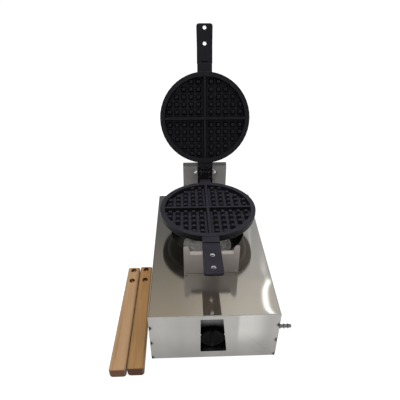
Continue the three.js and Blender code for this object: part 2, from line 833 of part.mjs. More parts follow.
// Hinge pin through fork and knuckle, with a cap nut on each end
const pinZ = partingZ + pinRise;
const pinHalf = forkWidth / 2 + capNutBore;
place("hinge_pin", rod("x", pinRadius, [-pinHalf, pinHalf], [0, pinY, pinZ], smallSides), polishedSteel);
for (const [hand, side] of mirrored) {
  const start = forkWidth / 2 + seam;
  const profile = [
    [pinRadius + running, start],
    [capNutRadius, start],
    [capNutRadius, start + capNutRim],
    [capNutRadius * Math.cos(Math.PI / 6), start + (capNutRim + capNutLength) / 2],
    [0, start + capNutLength],
    [0, start + capNutBore],
    [pinRadius + running, start + capNutBore],
    [pinRadius + running, start],
  ];
  const points = side > 0 ? profile : profile.map(([radius, along]) => [radius, -along]).reverse();
  place("hinge_nut_" + hand, turned(points, "x", [0, pinY, pinZ], smallSides), polishedSteel);
}

// Swivel: the shaft's head sits in the lower iron, and it turns in a loose bush in the rear bracket
const shaftStart = pinY + knuckleRadius - shaftHeadLength + seam;
const bushFront = rearBracketY - bushPlay - bushFlange;
const bushBack = rearBracketY + bracketSheet + bushTail;
const washerFront = bushBack + seam;
const nutFront = washerFront + washerThickness + seam;
const nutBack = nutFront + swivelNutLength;
place("swivel_shaft", turned([
  [0, shaftStart],
  [shaftHeadRadius - running, shaftStart],
  [shaftHeadRadius - running, pinY + knuckleRadius],
  [shaftRadius, pinY + knuckleRadius],
  [shaftRadius, nutBack + shaftTip],
  [0, nutBack + shaftTip],
], "y", [0, 0, partingZ], mediumSides), greySteel);
place("swivel_bush", turned([
  [shaftRadius + running, bushFront],
  [bushFlangeRadius, bushFront],
  [bushFlangeRadius, bushFront + bushFlange],
  [bushRadius, bushFront + bushFlange],
  [bushRadius, bushBack],
  [shaftRadius + running, bushBack],
  [shaftRadius + running, bushFront],
], "y", [0, 0, partingZ], mediumSides), brass);
place("swivel_washer", ring("y", shaftRadius + running, washerRadius,
  [washerFront, washerFront + washerThickness], [0, 0, partingZ], mediumSides), polishedSteel);
place("swivel_nut", nut("y", shaftRadius + running, swivelNutRadius,
  [nutFront, nutBack], [0, 0, partingZ]), greySteel);

// Burner under the fire hole: a cup with a socket for the mixing tube and a slotted port plate on top
const tubeBore = tubeRadius - tubeWall;
const socketRadius = tubeRadius + running + socketWall;
const cupFront = ironCentreY - burnerRadius;
const socketFront = cupFront - socketLength;
function burnerHead() {
  const inner = burnerRadius - burnerWall;
  const cup = turned([
    [0, burnerBottom],
    [burnerRadius - burnerWall, burnerBottom],
    [burnerRadius, burnerBottom + burnerWall],
    [burnerRadius, burnerTop],
    [inner, burnerTop],
    [inner, burnerTop - portPlateThickness - seam],
    [inner - burnerShelf, burnerTop - portPlateThickness - seam],
    [inner - burnerShelf, burnerBottom + burnerWall],
    [0, burnerBottom + burnerWall],
  ], "z", [0, ironCentreY, 0], fineSides);
  const centre = [tapX, 0, tubeHeight];
  const socket = rod("y", socketRadius, [socketFront, cupFront + burnerShelf + burnerWall],
    centre, mediumSides);
  const mouth = rod("y", tubeRadius + running, [socketFront - overrun, ironCentreY], centre, mediumSides);
  return cut(cup.add(socket), [mouth]);
}
place("burner_head", burnerHead(), greySteel);

function portPlate() {
  const radius = burnerRadius - burnerWall - seam;
  const bottom = burnerTop - portPlateThickness;
  const plate = rod("z", radius, [bottom, burnerTop], [0, ironCentreY, 0], fineSides);
  const slots = [];
  for (const [index, share] of portRingShares.entries())
    for (let i = 0; i < portCounts[index]; i++) {
      const slant = index % 2 ? -portSlant : portSlant;
      const slot = block([-portLength / 2, portLength / 2], [-portWidth / 2, portWidth / 2],
        [bottom - overrun, burnerTop + overrun]);
      slots.push(slot.rotate([0, 0, slant]).translate([share * radius, 0, 0])
        .rotate([0, 0, (360 * i) / portCounts[index]]).translate([0, ironCentreY, 0]));
    }
  return cut(plate, slots);
}
place("burner_port_plate", portPlate(), brushedSteel);

function burnerStand() {
  const half = standSpan / 2;
  const top = burnerBottom - seam;
  const floor = sheet + seam;
  const shape = outline([
    [-half - standFoot, floor],
    [-half + standSheet, floor],
    [-half + standSheet, top - standSheet],
    [half - standSheet, top - standSheet],
    [half - standSheet, floor],
    [half + standFoot, floor],
    [half + standFoot, floor + standSheet],
    [half, floor + standSheet],
    [half, top],
    [-half, top],
    [-half, floor + standSheet],
    [-half - standFoot, floor + standSheet],
  ]);
  return extruded(shape, "xz", [ironCentreY - standWidth / 2, ironCentreY + standWidth / 2]);
}
place("burner_stand", burnerStand(), greySteel);

const trayFloor = sheet + seam;
place("drip_tray", turned([
  [0, trayFloor],
  [trayRadius - trayDepth / 2, trayFloor],
  [trayRadius, trayFloor + trayDepth],
  [trayRadius - traySheet, trayFloor + trayDepth],
  [trayRadius - traySheet - trayDepth / 2, trayFloor + traySheet],
  [0, trayFloor + traySheet],
], "z", [0, ironCentreY, 0], mediumSides), greySteel);

// Mixing tube with its bell mouth, the air shutter in front of it and the jet that feeds it
const jetFront = tapBack + seam;
const jetEnd = jetFront + jetLength;
const shutterBack = jetEnd - jetNose - seam;
const shutterFront = shutterBack - shutterThickness;
const bellFront = shutterBack + seam;
const tubeCentre = [tapX, 0, tubeHeight];
place("mixing_tube", turned([
  [bellRadius - tubeWall, bellFront],
  [bellRadius, bellFront],
  [bellRadius, bellFront + bellMouth],
  [tubeRadius, bellFront + bellMouth + bellTaper],
  [tubeRadius, cupFront + burnerWall],
  [tubeBore, cupFront + burnerWall],
  [tubeBore, bellFront + bellMouth + bellTaper],
  [bellRadius - tubeWall, bellFront + bellMouth],
  [bellRadius - tubeWall, bellFront],
], "y", tubeCentre, mediumSides), greySteel);

function airShutter() {
  const disc = ring("y", jetRadius + running, bellRadius, [shutterFront, shutterBack],
    tubeCentre, mediumSides);
  const holes = [];
  for (let i = 0; i < shutterHoles; i++) {
    const angle = (2 * Math.PI * i) / shutterHoles;
    const reach = shutterHoleShare * bellRadius;
    holes.push(rod("y", shutterHoleRadius, [shutterFront - overrun, shutterBack + overrun],
      [tapX + reach * Math.cos(angle), 0, tubeHeight + reach * Math.sin(angle)], smallSides));
  }
  return cut(disc, holes);
}
place("air_shutter", airShutter(), greySteel);

function gasJet() {
  const hex = rod("y", jetHex, [jetFront, jetFront + jetHexLength], tubeCentre, 6);
  const body = turned([
    [0, jetFront + overrun],
    [jetRadius, jetFront + overrun],
    [jetRadius, jetEnd - jetNose],
    [jetNoseRadius, jetEnd],
    [0, jetEnd],
  ], "y", tubeCentre, smallSides);
  const bore = rod("y", jetBore, [jetFront - overrun, jetEnd + overrun], tubeCentre, smallSides);
  return cut(hex.add(body), [bore]);
}
place("gas_jet", gasJet(), brass);

// Gas tap on its bracket, with the stem and knob that reach the window
const tapCentre = [tapX, 0, tapHeight];
const glandFront = tapBodyY - seam - bracketSheet - seam - glandNutLength;
const bossEnd = tapX + tapWidth / 2 + bossLength;
const inletCentre = [0, nozzleY, inletHeight];
const knobFront = frontPanelInside + knobRecess;
const knobBack = knobFront + knobLength;
function gasTap() {
  const body = block([tapX - tapWidth / 2, tapX + tapWidth / 2], [tapBodyY, tapBack],
    [inletHeight - bossRadius - tapMargin, tapHeight + tapTop]);
  const neck = rod("y", neckRadius, [tapBodyY - neckLength, tapBodyY + overrun], tapCentre, smallSides);
  const boss = rod("x", bossRadius, [tapX, bossEnd], inletCentre, smallSides);
  const stemBore = rod("y", stemRadius + running,
    [tapBodyY - neckLength - overrun, tapBodyY + stemInBody + running], tapCentre, smallSides);
  const inlet = rod("x", pipeRadius + running, [bossEnd - pipeInsert, bossEnd + overrun],
    inletCentre, smallSides);
  return cut(joined([body, neck, boss]), [stemBore, inlet]);
}
place("gas_tap", gasTap(), brass);
place("gland_nut", nut("y", neckRadius + running, glandNutRadius,
  [glandFront, glandFront + glandNutLength], tapCentre), greySteel);

function tapBracket() {
  const y = tapBodyY - seam - bracketSheet;
  const floor = sheet + seam;
  const xs = [tapX - tapBracketWidth / 2, tapX + tapBracketWidth / 2];
  const face = block(xs, [y, y + bracketSheet], [floor, tapHeight + tapBracketTop]);
  const foot = block(xs, [y, y + bracketSheet + tapBracketFoot], [floor, floor + bracketSheet]);
  const hole = rod("y", neckRadius + running, [y - overrun, y + bracketSheet + overrun],
    tapCentre, smallSides);
  return cut(face.add(foot), [hole]);
}
place("tap_bracket", tapBracket(), greySteel);
const stemSpan = [knobBack - stemInKnob, tapBodyY + stemInBody];
place("tap_stem", rod("y", stemRadius, stemSpan, tapCentre, smallSides), brass);

function gasKnob() {
  const body = turned([
    [0, knobFront + knobBarRelief],
    [knobRadius - knobDraft, knobFront + knobBarRelief],
    [knobRadius, knobBack],
    [0, knobBack],
  ], "y", tapCentre, mediumSides);
  const bar = block([tapX - knobBarWidth / 2, tapX + knobBarWidth / 2], [knobFront, knobBack - overrun],
    [tapHeight - knobRadius + knobDraft, tapHeight + knobRadius - knobDraft]);
  const bore = rod("y", stemRadius + running, [knobBack - stemInKnob - running, knobBack + overrun],
    tapCentre, smallSides);
  return cut(body.add(bar), [bore]);
}
place("gas_knob", gasKnob(), blackPlastic);

// Gas inlet: a pipe from the tap to the hose nozzle that is clamped in the right side wall
const tailEnd = wallInside - nozzleTail;
place("inlet_pipe", ring("x", pipeBore, pipeRadius,
  [bossEnd - pipeInsert + seam, tailEnd + pipeInsert - seam], inletCentre, smallSides), greySteel);

function hoseNozzle() {
  const flangeStart = halfWidth + seam;
  const barbStart = flangeStart + nozzleFlange;
  const profile = [
    [nozzleBore, tailEnd + pipeInsert],
    [pipeRadius + running, tailEnd + pipeInsert],
    [pipeRadius + running, tailEnd],
    [nozzleTailRadius, tailEnd],
    [nozzleTailRadius, flangeStart],
    [nozzleFlangeRadius, flangeStart],
    [nozzleFlangeRadius, barbStart],
    [barbRoot, barbStart],
  ];
  for (let i = 0; i < nozzleBarbs; i++) {
    const start = barbStart + i * barbPitch;
    profile.push([barbRoot, start + barbPitch / 3], [barbRadius, start + barbPitch / 2]);
    profile.push([barbRoot, start + barbPitch]);
  }
  const tip = barbStart + nozzleBarbs * barbPitch + nozzleNose;
  profile.push([barbRoot, tip], [nozzleBore, tip], [nozzleBore, tailEnd + pipeInsert]);
  return turned(profile, "x", inletCentre, smallSides);
}
place("hose_nozzle", hoseNozzle(), polishedSteel);
place("nozzle_locknut", nut("x", nozzleTailRadius + running, lockNutRadius,
  [wallInside - seam - lockNutLength, wallInside - seam], inletCentre), greySteel);

// Loose wooden grips lying on the table, each with its two bolts and nuts
const gripMiddle = (x, shift, from) => x + (shift * from) / gripLength;

function gripWood(x, shift, farY) {
  const bottom = -footHeight;
  const top = bottom + gripHeight;
  const c = gripChamfer;
  const section = (half, drop) => [
    [-half + c, bottom + drop],
    [half - c, bottom + drop],
    [half, bottom + c],
    [half, top - c],
    [half - c, top - drop],
    [-half + c, top - drop],
    [-half, top - c],
    [-half, bottom + c],
  ];
  const stations = [
    [farY, gripHoleEndWidth / 2, 0],
    [farY - gripLength + c, gripEndWidth / 2, 0],
    [farY - gripLength, gripEndWidth / 2 - c, c / 2],
  ];
  const rings = stations.map(([y, half, drop]) =>
    section(half, drop).map(([u, z]) => [gripMiddle(x, shift, farY - y) + u, y, z]));
  const positions = rings.flat(2);
  const count = rings[0].length;
  const faces = [];
  for (let s = 0; s + 1 < rings.length; s++)
    for (let i = 0; i < count; i++) {
      const a = s * count + i;
      const b = s * count + ((i + 1) % count);
      faces.push(a, b, b + count, a, b + count, a + count);
    }
  const last = (rings.length - 1) * count;
  for (let i = 1; i + 1 < count; i++) faces.push(0, i + 1, i, last, last + i, last + i + 1);
  const geometry = new THREE.BufferGeometry();
  geometry.setAttribute("position", new THREE.Float32BufferAttribute(positions, 3));
  geometry.setIndex(faces);
  const holes = [];
  for (const from of [gripHoleFromEnd, gripHoleFromEnd + barHolePitch]) {
    const centre = [gripMiddle(x, shift, from), farY - from, 0];
    holes.push(
      rod("z", gripBore, [bottom - overrun, top + overrun], centre, smallSides),
      rod("z", gripCounterbore, [top - gripCounterboreDepth, top + overrun], centre, smallSides),
      rod("z", gripCounterbore, [bottom - overrun, bottom + gripCounterboreDepth], centre, smallSides),
    );
  }
  return cut(solidOf(geometry), holes);
}

const grips = [
  ["left", leftGripX, leftGripShift, leftGripFarY],
  ["right", rightGripX, rightGripShift, rightGripFarY],
];
for (const [hand, x, shift, farY] of grips) {
  place(hand + "_grip", gripWood(x, shift, farY), beech);
  const seat = gripHeight - footHeight - gripCounterboreDepth;
  const nutTop = gripCounterboreDepth - footHeight - seam;
  for (const [index, from] of [gripHoleFromEnd, gripHoleFromEnd + barHolePitch].entries()) {
    const centre = [gripMiddle(x, shift, from), farY - from, 0];
    const bolt = turned([
      [0, nutTop - gripNutHeight],
      [gripBoltRadius, nutTop - gripNutHeight],
      [gripBoltRadius, seat + seam],
      [gripBoltHead, seat + seam],
      [gripBoltHead, seat + gripBoltHeadHeight - seam],
      [gripBoltHead - seam, seat + gripBoltHeadHeight],
      [0, seat + gripBoltHeadHeight],
    ], "z", centre, smallSides);
    place(hand + "_grip_bolt_" + (index + 1), bolt, brass);
    place(hand + "_grip_nut_" + (index + 1),
      nut("z", gripBoltRadius + running, gripNutRadius, [nutTop - gripNutHeight, nutTop], centre), greySteel);
  }
}

export default group;
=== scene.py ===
import math

import bmesh
import bpy
import numpy as np
from mathutils import Matrix, Vector


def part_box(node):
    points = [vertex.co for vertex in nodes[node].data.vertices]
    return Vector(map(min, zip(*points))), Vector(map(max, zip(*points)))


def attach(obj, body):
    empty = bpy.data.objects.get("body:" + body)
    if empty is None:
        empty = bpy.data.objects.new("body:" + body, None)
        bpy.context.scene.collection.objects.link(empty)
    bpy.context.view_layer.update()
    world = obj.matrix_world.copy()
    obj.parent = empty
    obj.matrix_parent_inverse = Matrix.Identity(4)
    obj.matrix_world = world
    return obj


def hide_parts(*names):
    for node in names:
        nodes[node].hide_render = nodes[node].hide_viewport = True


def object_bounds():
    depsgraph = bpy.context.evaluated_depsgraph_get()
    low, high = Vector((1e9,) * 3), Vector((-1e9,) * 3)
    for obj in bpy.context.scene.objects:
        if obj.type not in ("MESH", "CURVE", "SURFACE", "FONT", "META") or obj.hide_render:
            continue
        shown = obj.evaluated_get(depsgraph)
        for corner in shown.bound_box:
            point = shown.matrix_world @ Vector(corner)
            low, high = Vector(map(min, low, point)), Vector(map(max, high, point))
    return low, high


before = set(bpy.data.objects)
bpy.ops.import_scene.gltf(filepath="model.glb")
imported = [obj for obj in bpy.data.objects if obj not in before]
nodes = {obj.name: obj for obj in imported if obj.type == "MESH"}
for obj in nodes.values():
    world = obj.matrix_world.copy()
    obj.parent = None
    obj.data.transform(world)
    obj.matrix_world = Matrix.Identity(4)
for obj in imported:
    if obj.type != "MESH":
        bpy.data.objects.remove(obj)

cad_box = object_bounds()

# Studio. A pale floor that runs far back and a soft grey room that only the metal sees,
# with a tall window to the right behind the object. The camera stands above the user's
# head height, a little left of the middle, where the photograph was taken from.
PHOTO_PIXELS = 400
FOCAL_PIXELS = 375.43
SENSOR_WIDTH = 36.0
CAMERA_PLACE = Vector((-0.04762, -0.67623, 0.68136))
CAMERA_YAW = math.radians(-2.32)
CAMERA_PITCH = math.radians(32.88)
CAMERA_ROLL = math.radians(0.24)
CAMERA_SEES_TO = 200.0
FLOOR_HALF = 40.0
FLOOR_COLOUR = (0.1, 0.1, 0.1)
FLOOR_ROUGHNESS = 0.95
FLOOR_GLOW = 1.0
ROOM_BY_HEIGHT = [  # sine of the elevation, colour
    (0.0, 0.22), (0.36, 0.16), (0.52, 0.11), (0.60, 0.14), (0.67, (0.20, 0.19, 0.165)),
    (0.74, (0.36, 0.31, 0.24)), (0.80, (0.42, 0.37, 0.29)), (1.0, 0.45),
]
ROOM_RIGHT_SIDE = 0.26
RIGHT_SIDE_STARTS = (-4.0, 15.0)  # degrees of azimuth, clockwise from straight ahead
RIGHT_SIDE_ENDS = (60.0, 175.0)
WINDOWS = [  # x of the direction from, to, how soft, elevation from, to, how soft, brightness
    (0.1882, 0.2010, 0.0007, 43.9, 52.0, 0.4, 1.5),
    (0.1614, 0.1643, 0.0008, 36.6, 39.8, 0.3, 0.6),
]
LIGHTS = [  # name, place, target, size, power, whether metal mirrors it
    ("key", (-0.25, 0.35, 2.4), (0.0, 0.0, 0.2), 1.5, 66.0, False),
    ("fill", (1.6, -1.4, 2.0), (0.0, 0.0, 0.2), 1.2, 6.0, True),
    ("front", (-0.52, -1.16, 1.30), (0.0, -0.05, 0.12), 0.4, 3.5, True),
]


def node(tree, kind, inputs=None, **settings):
    """Adds a shader node; an input is a value, or another node's output socket."""
    made = tree.nodes.new(kind)
    for key, value in settings.items():
        setattr(made, key, value)
    for key, value in (inputs or {}).items():
        if isinstance(value, bpy.types.NodeSocket):
            tree.links.new(value, made.inputs[key])
        else:
            made.inputs[key].default_value = value
    return made


def maths(tree, operation, *values):
    """One Math node's result, from one to three values or sockets."""
    return node(tree, "ShaderNodeMath", dict(enumerate(values)), operation=operation).outputs[0]


def coordinate(tree, vector, axis):
    """The X, Y or Z of a vector."""
    return node(tree, "ShaderNodeSeparateXYZ", {"Vector": vector}).outputs[axis]


def ramp(tree, factor, stops, interpolation="LINEAR"):
    """A colour ramp from (place, grey or colour) stops; returns its colour output."""
    made = node(tree, "ShaderNodeValToRGB", {"Fac": factor})
    made.color_ramp.interpolation = interpolation
    elements = made.color_ramp.elements
    while len(elements) < len(stops):
        elements.new(0.5)
    for element, (place, colour) in zip(elements, stops):
        element.position = place
        rgb = colour if isinstance(colour, tuple) else (colour,) * 3
        element.color = (*rgb, 1.0)
    return made.outputs["Color"]


def smooth_step(tree, value, start, end, low=0.0, high=1.0):
    """Goes smoothly from low at start to high at end, and stays level beyond them."""
    return node(tree, "ShaderNodeMapRange", {
        "Value": value, "From Min": start, "From Max": end, "To Min": low, "To Max": high,
    }, interpolation_type="SMOOTHSTEP").outputs["Result"]


def new_material(name):
    """A material, its node tree and its Principled shader."""
    material = bpy.data.materials.new(name)
    material.use_nodes = True
    tree = material.node_tree
    return material, tree, tree.nodes["Principled BSDF"]


def set_sockets(surface, **values):
    """Sets plain values on a shader's own sockets, named with underscores for spaces."""
    for key, value in values.items():
        socket = surface.inputs[key.replace("_", " ")]
        socket.default_value = (*value, 1.0) if isinstance(value, tuple) else value


def link(tree, output, surface, socket):
    """Joins an output to one of a shader's sockets."""
    tree.links.new(output, surface.inputs[socket])


def add_object(name, data):
    """A new object in the scene."""
    made = bpy.data.objects.new(name, data)
    bpy.context.scene.collection.objects.link(made)
    return made


camera = add_object("camera", bpy.data.cameras.new("camera"))
camera.data.sensor_width = SENSOR_WIDTH
camera.data.lens = SENSOR_WIDTH * FOCAL_PIXELS / PHOTO_PIXELS
camera.data.clip_end = CAMERA_SEES_TO
aim = Matrix.Rotation(CAMERA_YAW, 4, "Z") @ Matrix.Rotation(math.pi / 2 - CAMERA_PITCH, 4, "X")
roll = Matrix.Rotation(CAMERA_ROLL, 4, "Z")
camera.matrix_world = Matrix.Translation(CAMERA_PLACE) @ aim @ roll
bpy.context.scene.camera = camera
bpy.context.scene.view_settings.view_transform = "Standard"

world = bpy.data.worlds.new("studio")
bpy.context.scene.world = world
world.use_nodes = True
tree = world.node_tree
background = tree.nodes["Background"]
direction = node(tree, "ShaderNodeTexCoord").outputs["Generated"]
x, y, z = (coordinate(tree, direction, axis) for axis in "XYZ")
azimuth = maths(tree, "DEGREES", maths(tree, "ARCTAN2", x, y))
elevation = maths(tree, "DEGREES", maths(tree, "ARCSINE", z))
by_height = ramp(tree, z, ROOM_BY_HEIGHT, "B_SPLINE")
right_side = smooth_step(tree, azimuth, *RIGHT_SIDE_STARTS, 0.0, ROOM_RIGHT_SIDE)
light_level = maths(tree, "MULTIPLY", right_side,
                    smooth_step(tree, azimuth, *RIGHT_SIDE_ENDS, 1.0, 0.0))
for *sides, brightness in WINDOWS:
    pane = brightness
    for place, (low, high, soft) in ((x, sides[:3]), (elevation, sides[3:])):
        rise = smooth_step(tree, place, low - soft, low + soft)
        fall = smooth_step(tree, place, high - soft, high + soft, 1.0, 0.0)
        pane = maths(tree, "MULTIPLY", pane, maths(tree, "MULTIPLY", rise, fall))
    light_level = maths(tree, "ADD", light_level, pane)
room = node(tree, "ShaderNodeMix", {"Factor": 1.0, 6: by_height, 7: light_level},
            data_type="RGBA", blend_type="ADD")
tree.links.new(room.outputs[2], background.inputs["Color"])

floor_level = cad_box[0][2]
floor_mesh = bpy.data.meshes.new("floor")
floor_mesh.from_pydata(
    [(x * FLOOR_HALF, y * FLOOR_HALF, floor_level) for x, y in ((-1, -1), (1, -1), (1, 1), (-1, 1))],
    [], [(0, 1, 2, 3)],
)
floor = add_object("floor", floor_mesh)
material, tree, surface = new_material("pale floor")
set_sockets(surface, Base_Color=FLOOR_COLOUR, Roughness=FLOOR_ROUGHNESS, Specular_IOR_Level=0.0,
            Emission_Color=(1.0, 1.0, 1.0), Emission_Strength=FLOOR_GLOW)
floor_mesh.materials.append(material)
floor.visible_diffuse = False

for name, place, target, size, power, mirrored in LIGHTS:
    light = add_object(name, bpy.data.lights.new(name, "AREA"))
    light.data.size = size
    light.data.energy = power
    light.location = place
    light.rotation_euler = (Vector(target) - Vector(place)).to_track_quat("-Z", "Y").to_euler()
    light.visible_glossy = mirrored

# Top cover: one sheet of mirror-polished stainless steel, bent down over both sides, with the
# fire hole cut in it. The polishing belt ran from side to side, so reflections smear from front
# to back. The thin sheet curls up a little along its right strip.
POLISH_COLOUR = (0.70, 0.69, 0.67)
POLISH_ROUGHNESS = (0.07, 0.09)
POLISH_ANISOTROPY = 1.0
POLISH_RIDGES = 0.000003  # height of the polishing lines, in metres
POLISH_GRAIN = (30.0, 2600.0, 2600.0)  # cycles a metre
SHEET_WAVES = (7.0, 0.00008)  # cycles a metre, height in metres
CURL_FROM = 0.0662  # the right strip curls up from here
CURL_EASE = 0.006
CURL_FRONT = (-0.21, 0.0106, 0.01203)  # where, reach along y, slope
CURL_REAR = (-0.1222, 0.0182, 0.00729)
BEND_STARTS = 0.1234  # both bends are painted darker from here, a painted dark reflection
BEND_EASE = 0.001
BEND_PAINTED_DARK = 0.35
SHEET_BEVEL = 0.0003
SMOOTH_DEGREES = 30.0
SAME_POINT = 0.000001  # points this near are one


def object_place(tree, scale=(1.0, 1.0, 1.0), turn=(0.0, 0.0, 0.0)):
    """The object's own coordinates, stretched by scale after a turn."""
    place = node(tree, "ShaderNodeTexCoord").outputs["Object"]
    mapped = node(tree, "ShaderNodeMapping", {"Vector": place, "Scale": scale, "Rotation": turn})
    return mapped.outputs["Vector"]


def noise(tree, place, scale=1.0, detail=2.0, roughness=0.5):
    """Noise from 0 to 1 at a place."""
    return node(tree, "ShaderNodeTexNoise", {
        "Vector": place, "Scale": scale, "Detail": detail, "Roughness": roughness,
    }).outputs["Fac"]


def between(tree, factor, low, high):
    """Maps a noise factor, mostly from 0.3 to 0.7, on to the range from low to high."""
    return node(tree, "ShaderNodeMapRange", {
        "Value": factor, "From Min": 0.3, "From Max": 0.7, "To Min": low, "To Max": high,
    }).outputs["Result"]


def roughen(tree, surface, factor, low, high):
    """Lets the roughness follow a noise factor, from low to high."""
    link(tree, between(tree, factor, low, high), surface, "Roughness")


def raise_surface(tree, surface, pattern, height=1.0):
    """Tilts the shading normal by a pattern times a height in metres."""
    rise = maths(tree, "MULTIPLY", pattern, height)
    bump = node(tree, "ShaderNodeBump", {"Height": rise, "Strength": 1.0, "Distance": 1.0})
    link(tree, bump.outputs["Normal"], surface, "Normal")


def grain_across(tree, surface, smear):
    """Spreads reflections along one fixed direction, square to the polishing lines."""
    tangent = node(tree, "ShaderNodeCombineXYZ", dict(zip("XYZ", smear)))
    link(tree, tangent.outputs["Vector"], surface, "Tangent")


def smooth_weld():
    """A modifier's node group: welds a CAD node's loose triangles and shades them smooth,
    apart from edges that turn by more than SMOOTH_DEGREES."""
    group = bpy.data.node_groups.new("smooth weld", "GeometryNodeTree")
    group.interface.new_socket("Geometry", in_out="INPUT", socket_type="NodeSocketGeometry")
    group.interface.new_socket("Geometry", in_out="OUTPUT", socket_type="NodeSocketGeometry")
    source = node(group, "NodeGroupInput").outputs[0]
    welded = node(group, "GeometryNodeMergeByDistance", {"Geometry": source, "Distance": SAME_POINT})
    bare = node(group, "GeometryNodeRemoveAttribute", {
        "Geometry": welded.outputs["Geometry"], "Name": "custom_normal"})
    soft = node(group, "GeometryNodeSetShadeSmooth", {
        "Geometry": bare.outputs["Geometry"], "Shade Smooth": True}, domain="FACE")
    turn = node(group, "GeometryNodeInputMeshEdgeAngle").outputs["Unsigned Angle"]
    sharp = node(group, "FunctionNodeCompare", {
        "A": turn, "B": math.radians(SMOOTH_DEGREES)}, data_type="FLOAT", operation="GREATER_THAN")
    creased = node(group, "GeometryNodeSetShadeSmooth", {
        "Geometry": soft.outputs["Geometry"], "Selection": sharp.outputs["Result"],
        "Shade Smooth": False}, domain="EDGE")
    node(group, "NodeGroupOutput", {0: creased.outputs["Geometry"]})
    return group


weld_and_smooth = smooth_weld()


def dress(name, material, bevel=SHEET_BEVEL):
    """A CAD node keeps its mesh: modifiers weld it, shade it and ease its edges."""
    obj = nodes[name]
    obj.data.materials.clear()
    obj.data.materials.append(material)
    weld = obj.modifiers.new("weld", "NODES")
    weld.node_group = weld_and_smooth
    ease = obj.modifiers.new("eased edges", "BEVEL")
    ease.width = bevel
    ease.segments = 2
    ease.limit_method = "ANGLE"
    ease.angle_limit = math.radians(SMOOTH_DEGREES)
    ease.use_clamp_overlap = False
    even = obj.modifiers.new("even shading", "WEIGHTED_NORMAL")
    even.keep_sharp = True
    return obj


def scaled(tree, colour, share):
    """A colour times a share."""
    made = node(tree, "ShaderNodeVectorMath", {0: colour, "Scale": share}, operation="SCALE")
    return made.outputs["Vector"]


def polished_steel():
    """Bright steel whose roughness and ridges follow fine lines across, on a gently wavy sheet, with
    a painted dark reflection along both bends. Its right strip curls up: a soft ramp in x, times an
    exponential and a bell in y, added."""
    material, tree, surface = new_material("polished stainless")
    set_sockets(surface, Metallic=1.0, Anisotropic=POLISH_ANISOTROPY)
    lines = noise(tree, object_place(tree, POLISH_GRAIN), detail=3.0)
    roughen(tree, surface, lines, *POLISH_ROUGHNESS)
    grain_across(tree, surface, (0.0, 1.0, 0.0))
    frequency, height = SHEET_WAVES
    rise = maths(tree, "MULTIPLY", noise(tree, object_place(tree), frequency, 1.0), height)
    x, y = (coordinate(tree, object_place(tree), axis) for axis in "XY")
    aside = maths(tree, "ABSOLUTE", x)
    # painted dark reflection along both bends
    share = smooth_step(tree, aside, BEND_STARTS, BEND_STARTS + BEND_EASE, 1.0, BEND_PAINTED_DARK)
    link(tree, scaled(tree, POLISH_COLOUR, share), surface, "Base Color")
    over = maths(tree, "SUBTRACT", x, CURL_FROM)
    eased = maths(tree, "SQRT", maths(tree, "MULTIPLY_ADD", over, over, CURL_EASE ** 2))
    ramped = maths(tree, "MULTIPLY", maths(tree, "ADD", over, eased), 0.5)
    slope = 0.0
    for (start, reach, most), power in ((CURL_FRONT, 1.0), (CURL_REAR, 2.0)):
        away = maths(tree, "ABSOLUTE", maths(tree, "SUBTRACT", y, start))
        share = maths(tree, "POWER", maths(tree, "DIVIDE", away, reach), power)
        fading = maths(tree, "EXPONENT", maths(tree, "MULTIPLY", share, -1.0))
        slope = maths(tree, "MULTIPLY_ADD", fading, most, slope)
    rise = maths(tree, "MULTIPLY_ADD", slope, ramped, rise)
    rise = maths(tree, "MULTIPLY_ADD", lines, POLISH_RIDGES, rise)
    raise_surface(tree, surface, rise)
    return material


dress("top_cover", polished_steel())

# Front and rear panels: satin stainless sheet closing the two ends, with the grain running from
# side to side. The front one has the knob window and spot-welded returns, the rear one vents.
SATIN_COLOUR = (0.39, 0.382, 0.364)
SATIN_ROUGHNESS = (0.30, 0.36)
SATIN_GRAIN = (25.0, 1200.0, 1200.0)
SATIN_ANISOTROPY = 0.6
SATIN_PATCHES = (14.0, 2.0)  # cycles a metre, detail
GRAIN_HEIGHT = 0.0000006
BAND_GRAIN = (24.0, 1.0, 2.0)
BAND_GAINS = (0.92, 1.08)
SHEEN_STARTS = (0.043, 0.049)  # a band to the right of the window is painted brighter, a painted reflection
SHEEN_ENDS = (0.080, 0.112)
SHEEN_LEVELS = (0.030, 0.080)
SHEEN_GAIN = 0.34
FOOT_SHADE = 0.74  # of the colour, at the bottom edge
FOOT_SHADE_ENDS = 0.085
PANEL_EDGES = (-0.125, 0.125)
PANEL_FACE = -0.21
NOTCH_SHADE_LEVELS = (0.0037, 0.049, 0.0931)
NOTCH_SHADE_REACH = (0.004, 0.004, 0.004)
NOTCH_SHADE_GAIN = 3.0  # flattens the middle of a mark
NOTCH_AND_SEAM_DARK = (0.03, 0.03, 0.03, 1.0)
SEAM_STARTS = 0.1241  # the dark seam at the right edge
SEAM_EASE = 0.0004
SEAM_STRENGTH = 0.85
UPRIGHT = (0.0, 0.0, 1.0)


def vector_maths(tree, operation, *vectors):
    """One Vector Math node's result: a number for a dot product or a length."""
    made = node(tree, "ShaderNodeVectorMath", dict(enumerate(vectors)), operation=operation)
    return made.outputs["Value" if operation in ("DOT_PRODUCT", "LENGTH") else "Vector"]


def bell(tree, point, place, reach):
    """1 at a place, falling off smoothly: exp of minus the squared share of each reach."""
    share = vector_maths(tree, "DIVIDE", vector_maths(tree, "SUBTRACT", point, place), reach)
    square = vector_maths(tree, "DOT_PRODUCT", share, share)
    return maths(tree, "EXPONENT", maths(tree, "MULTIPLY", square, -1.0))


def blend(tree, share, first, second):
    """Goes from the first colour to the second as the share rises from 0 to 1."""
    mixed = node(tree, "ShaderNodeMix", {"Factor": share, 6: first, 7: second}, data_type="RGBA")
    return mixed.outputs[2]


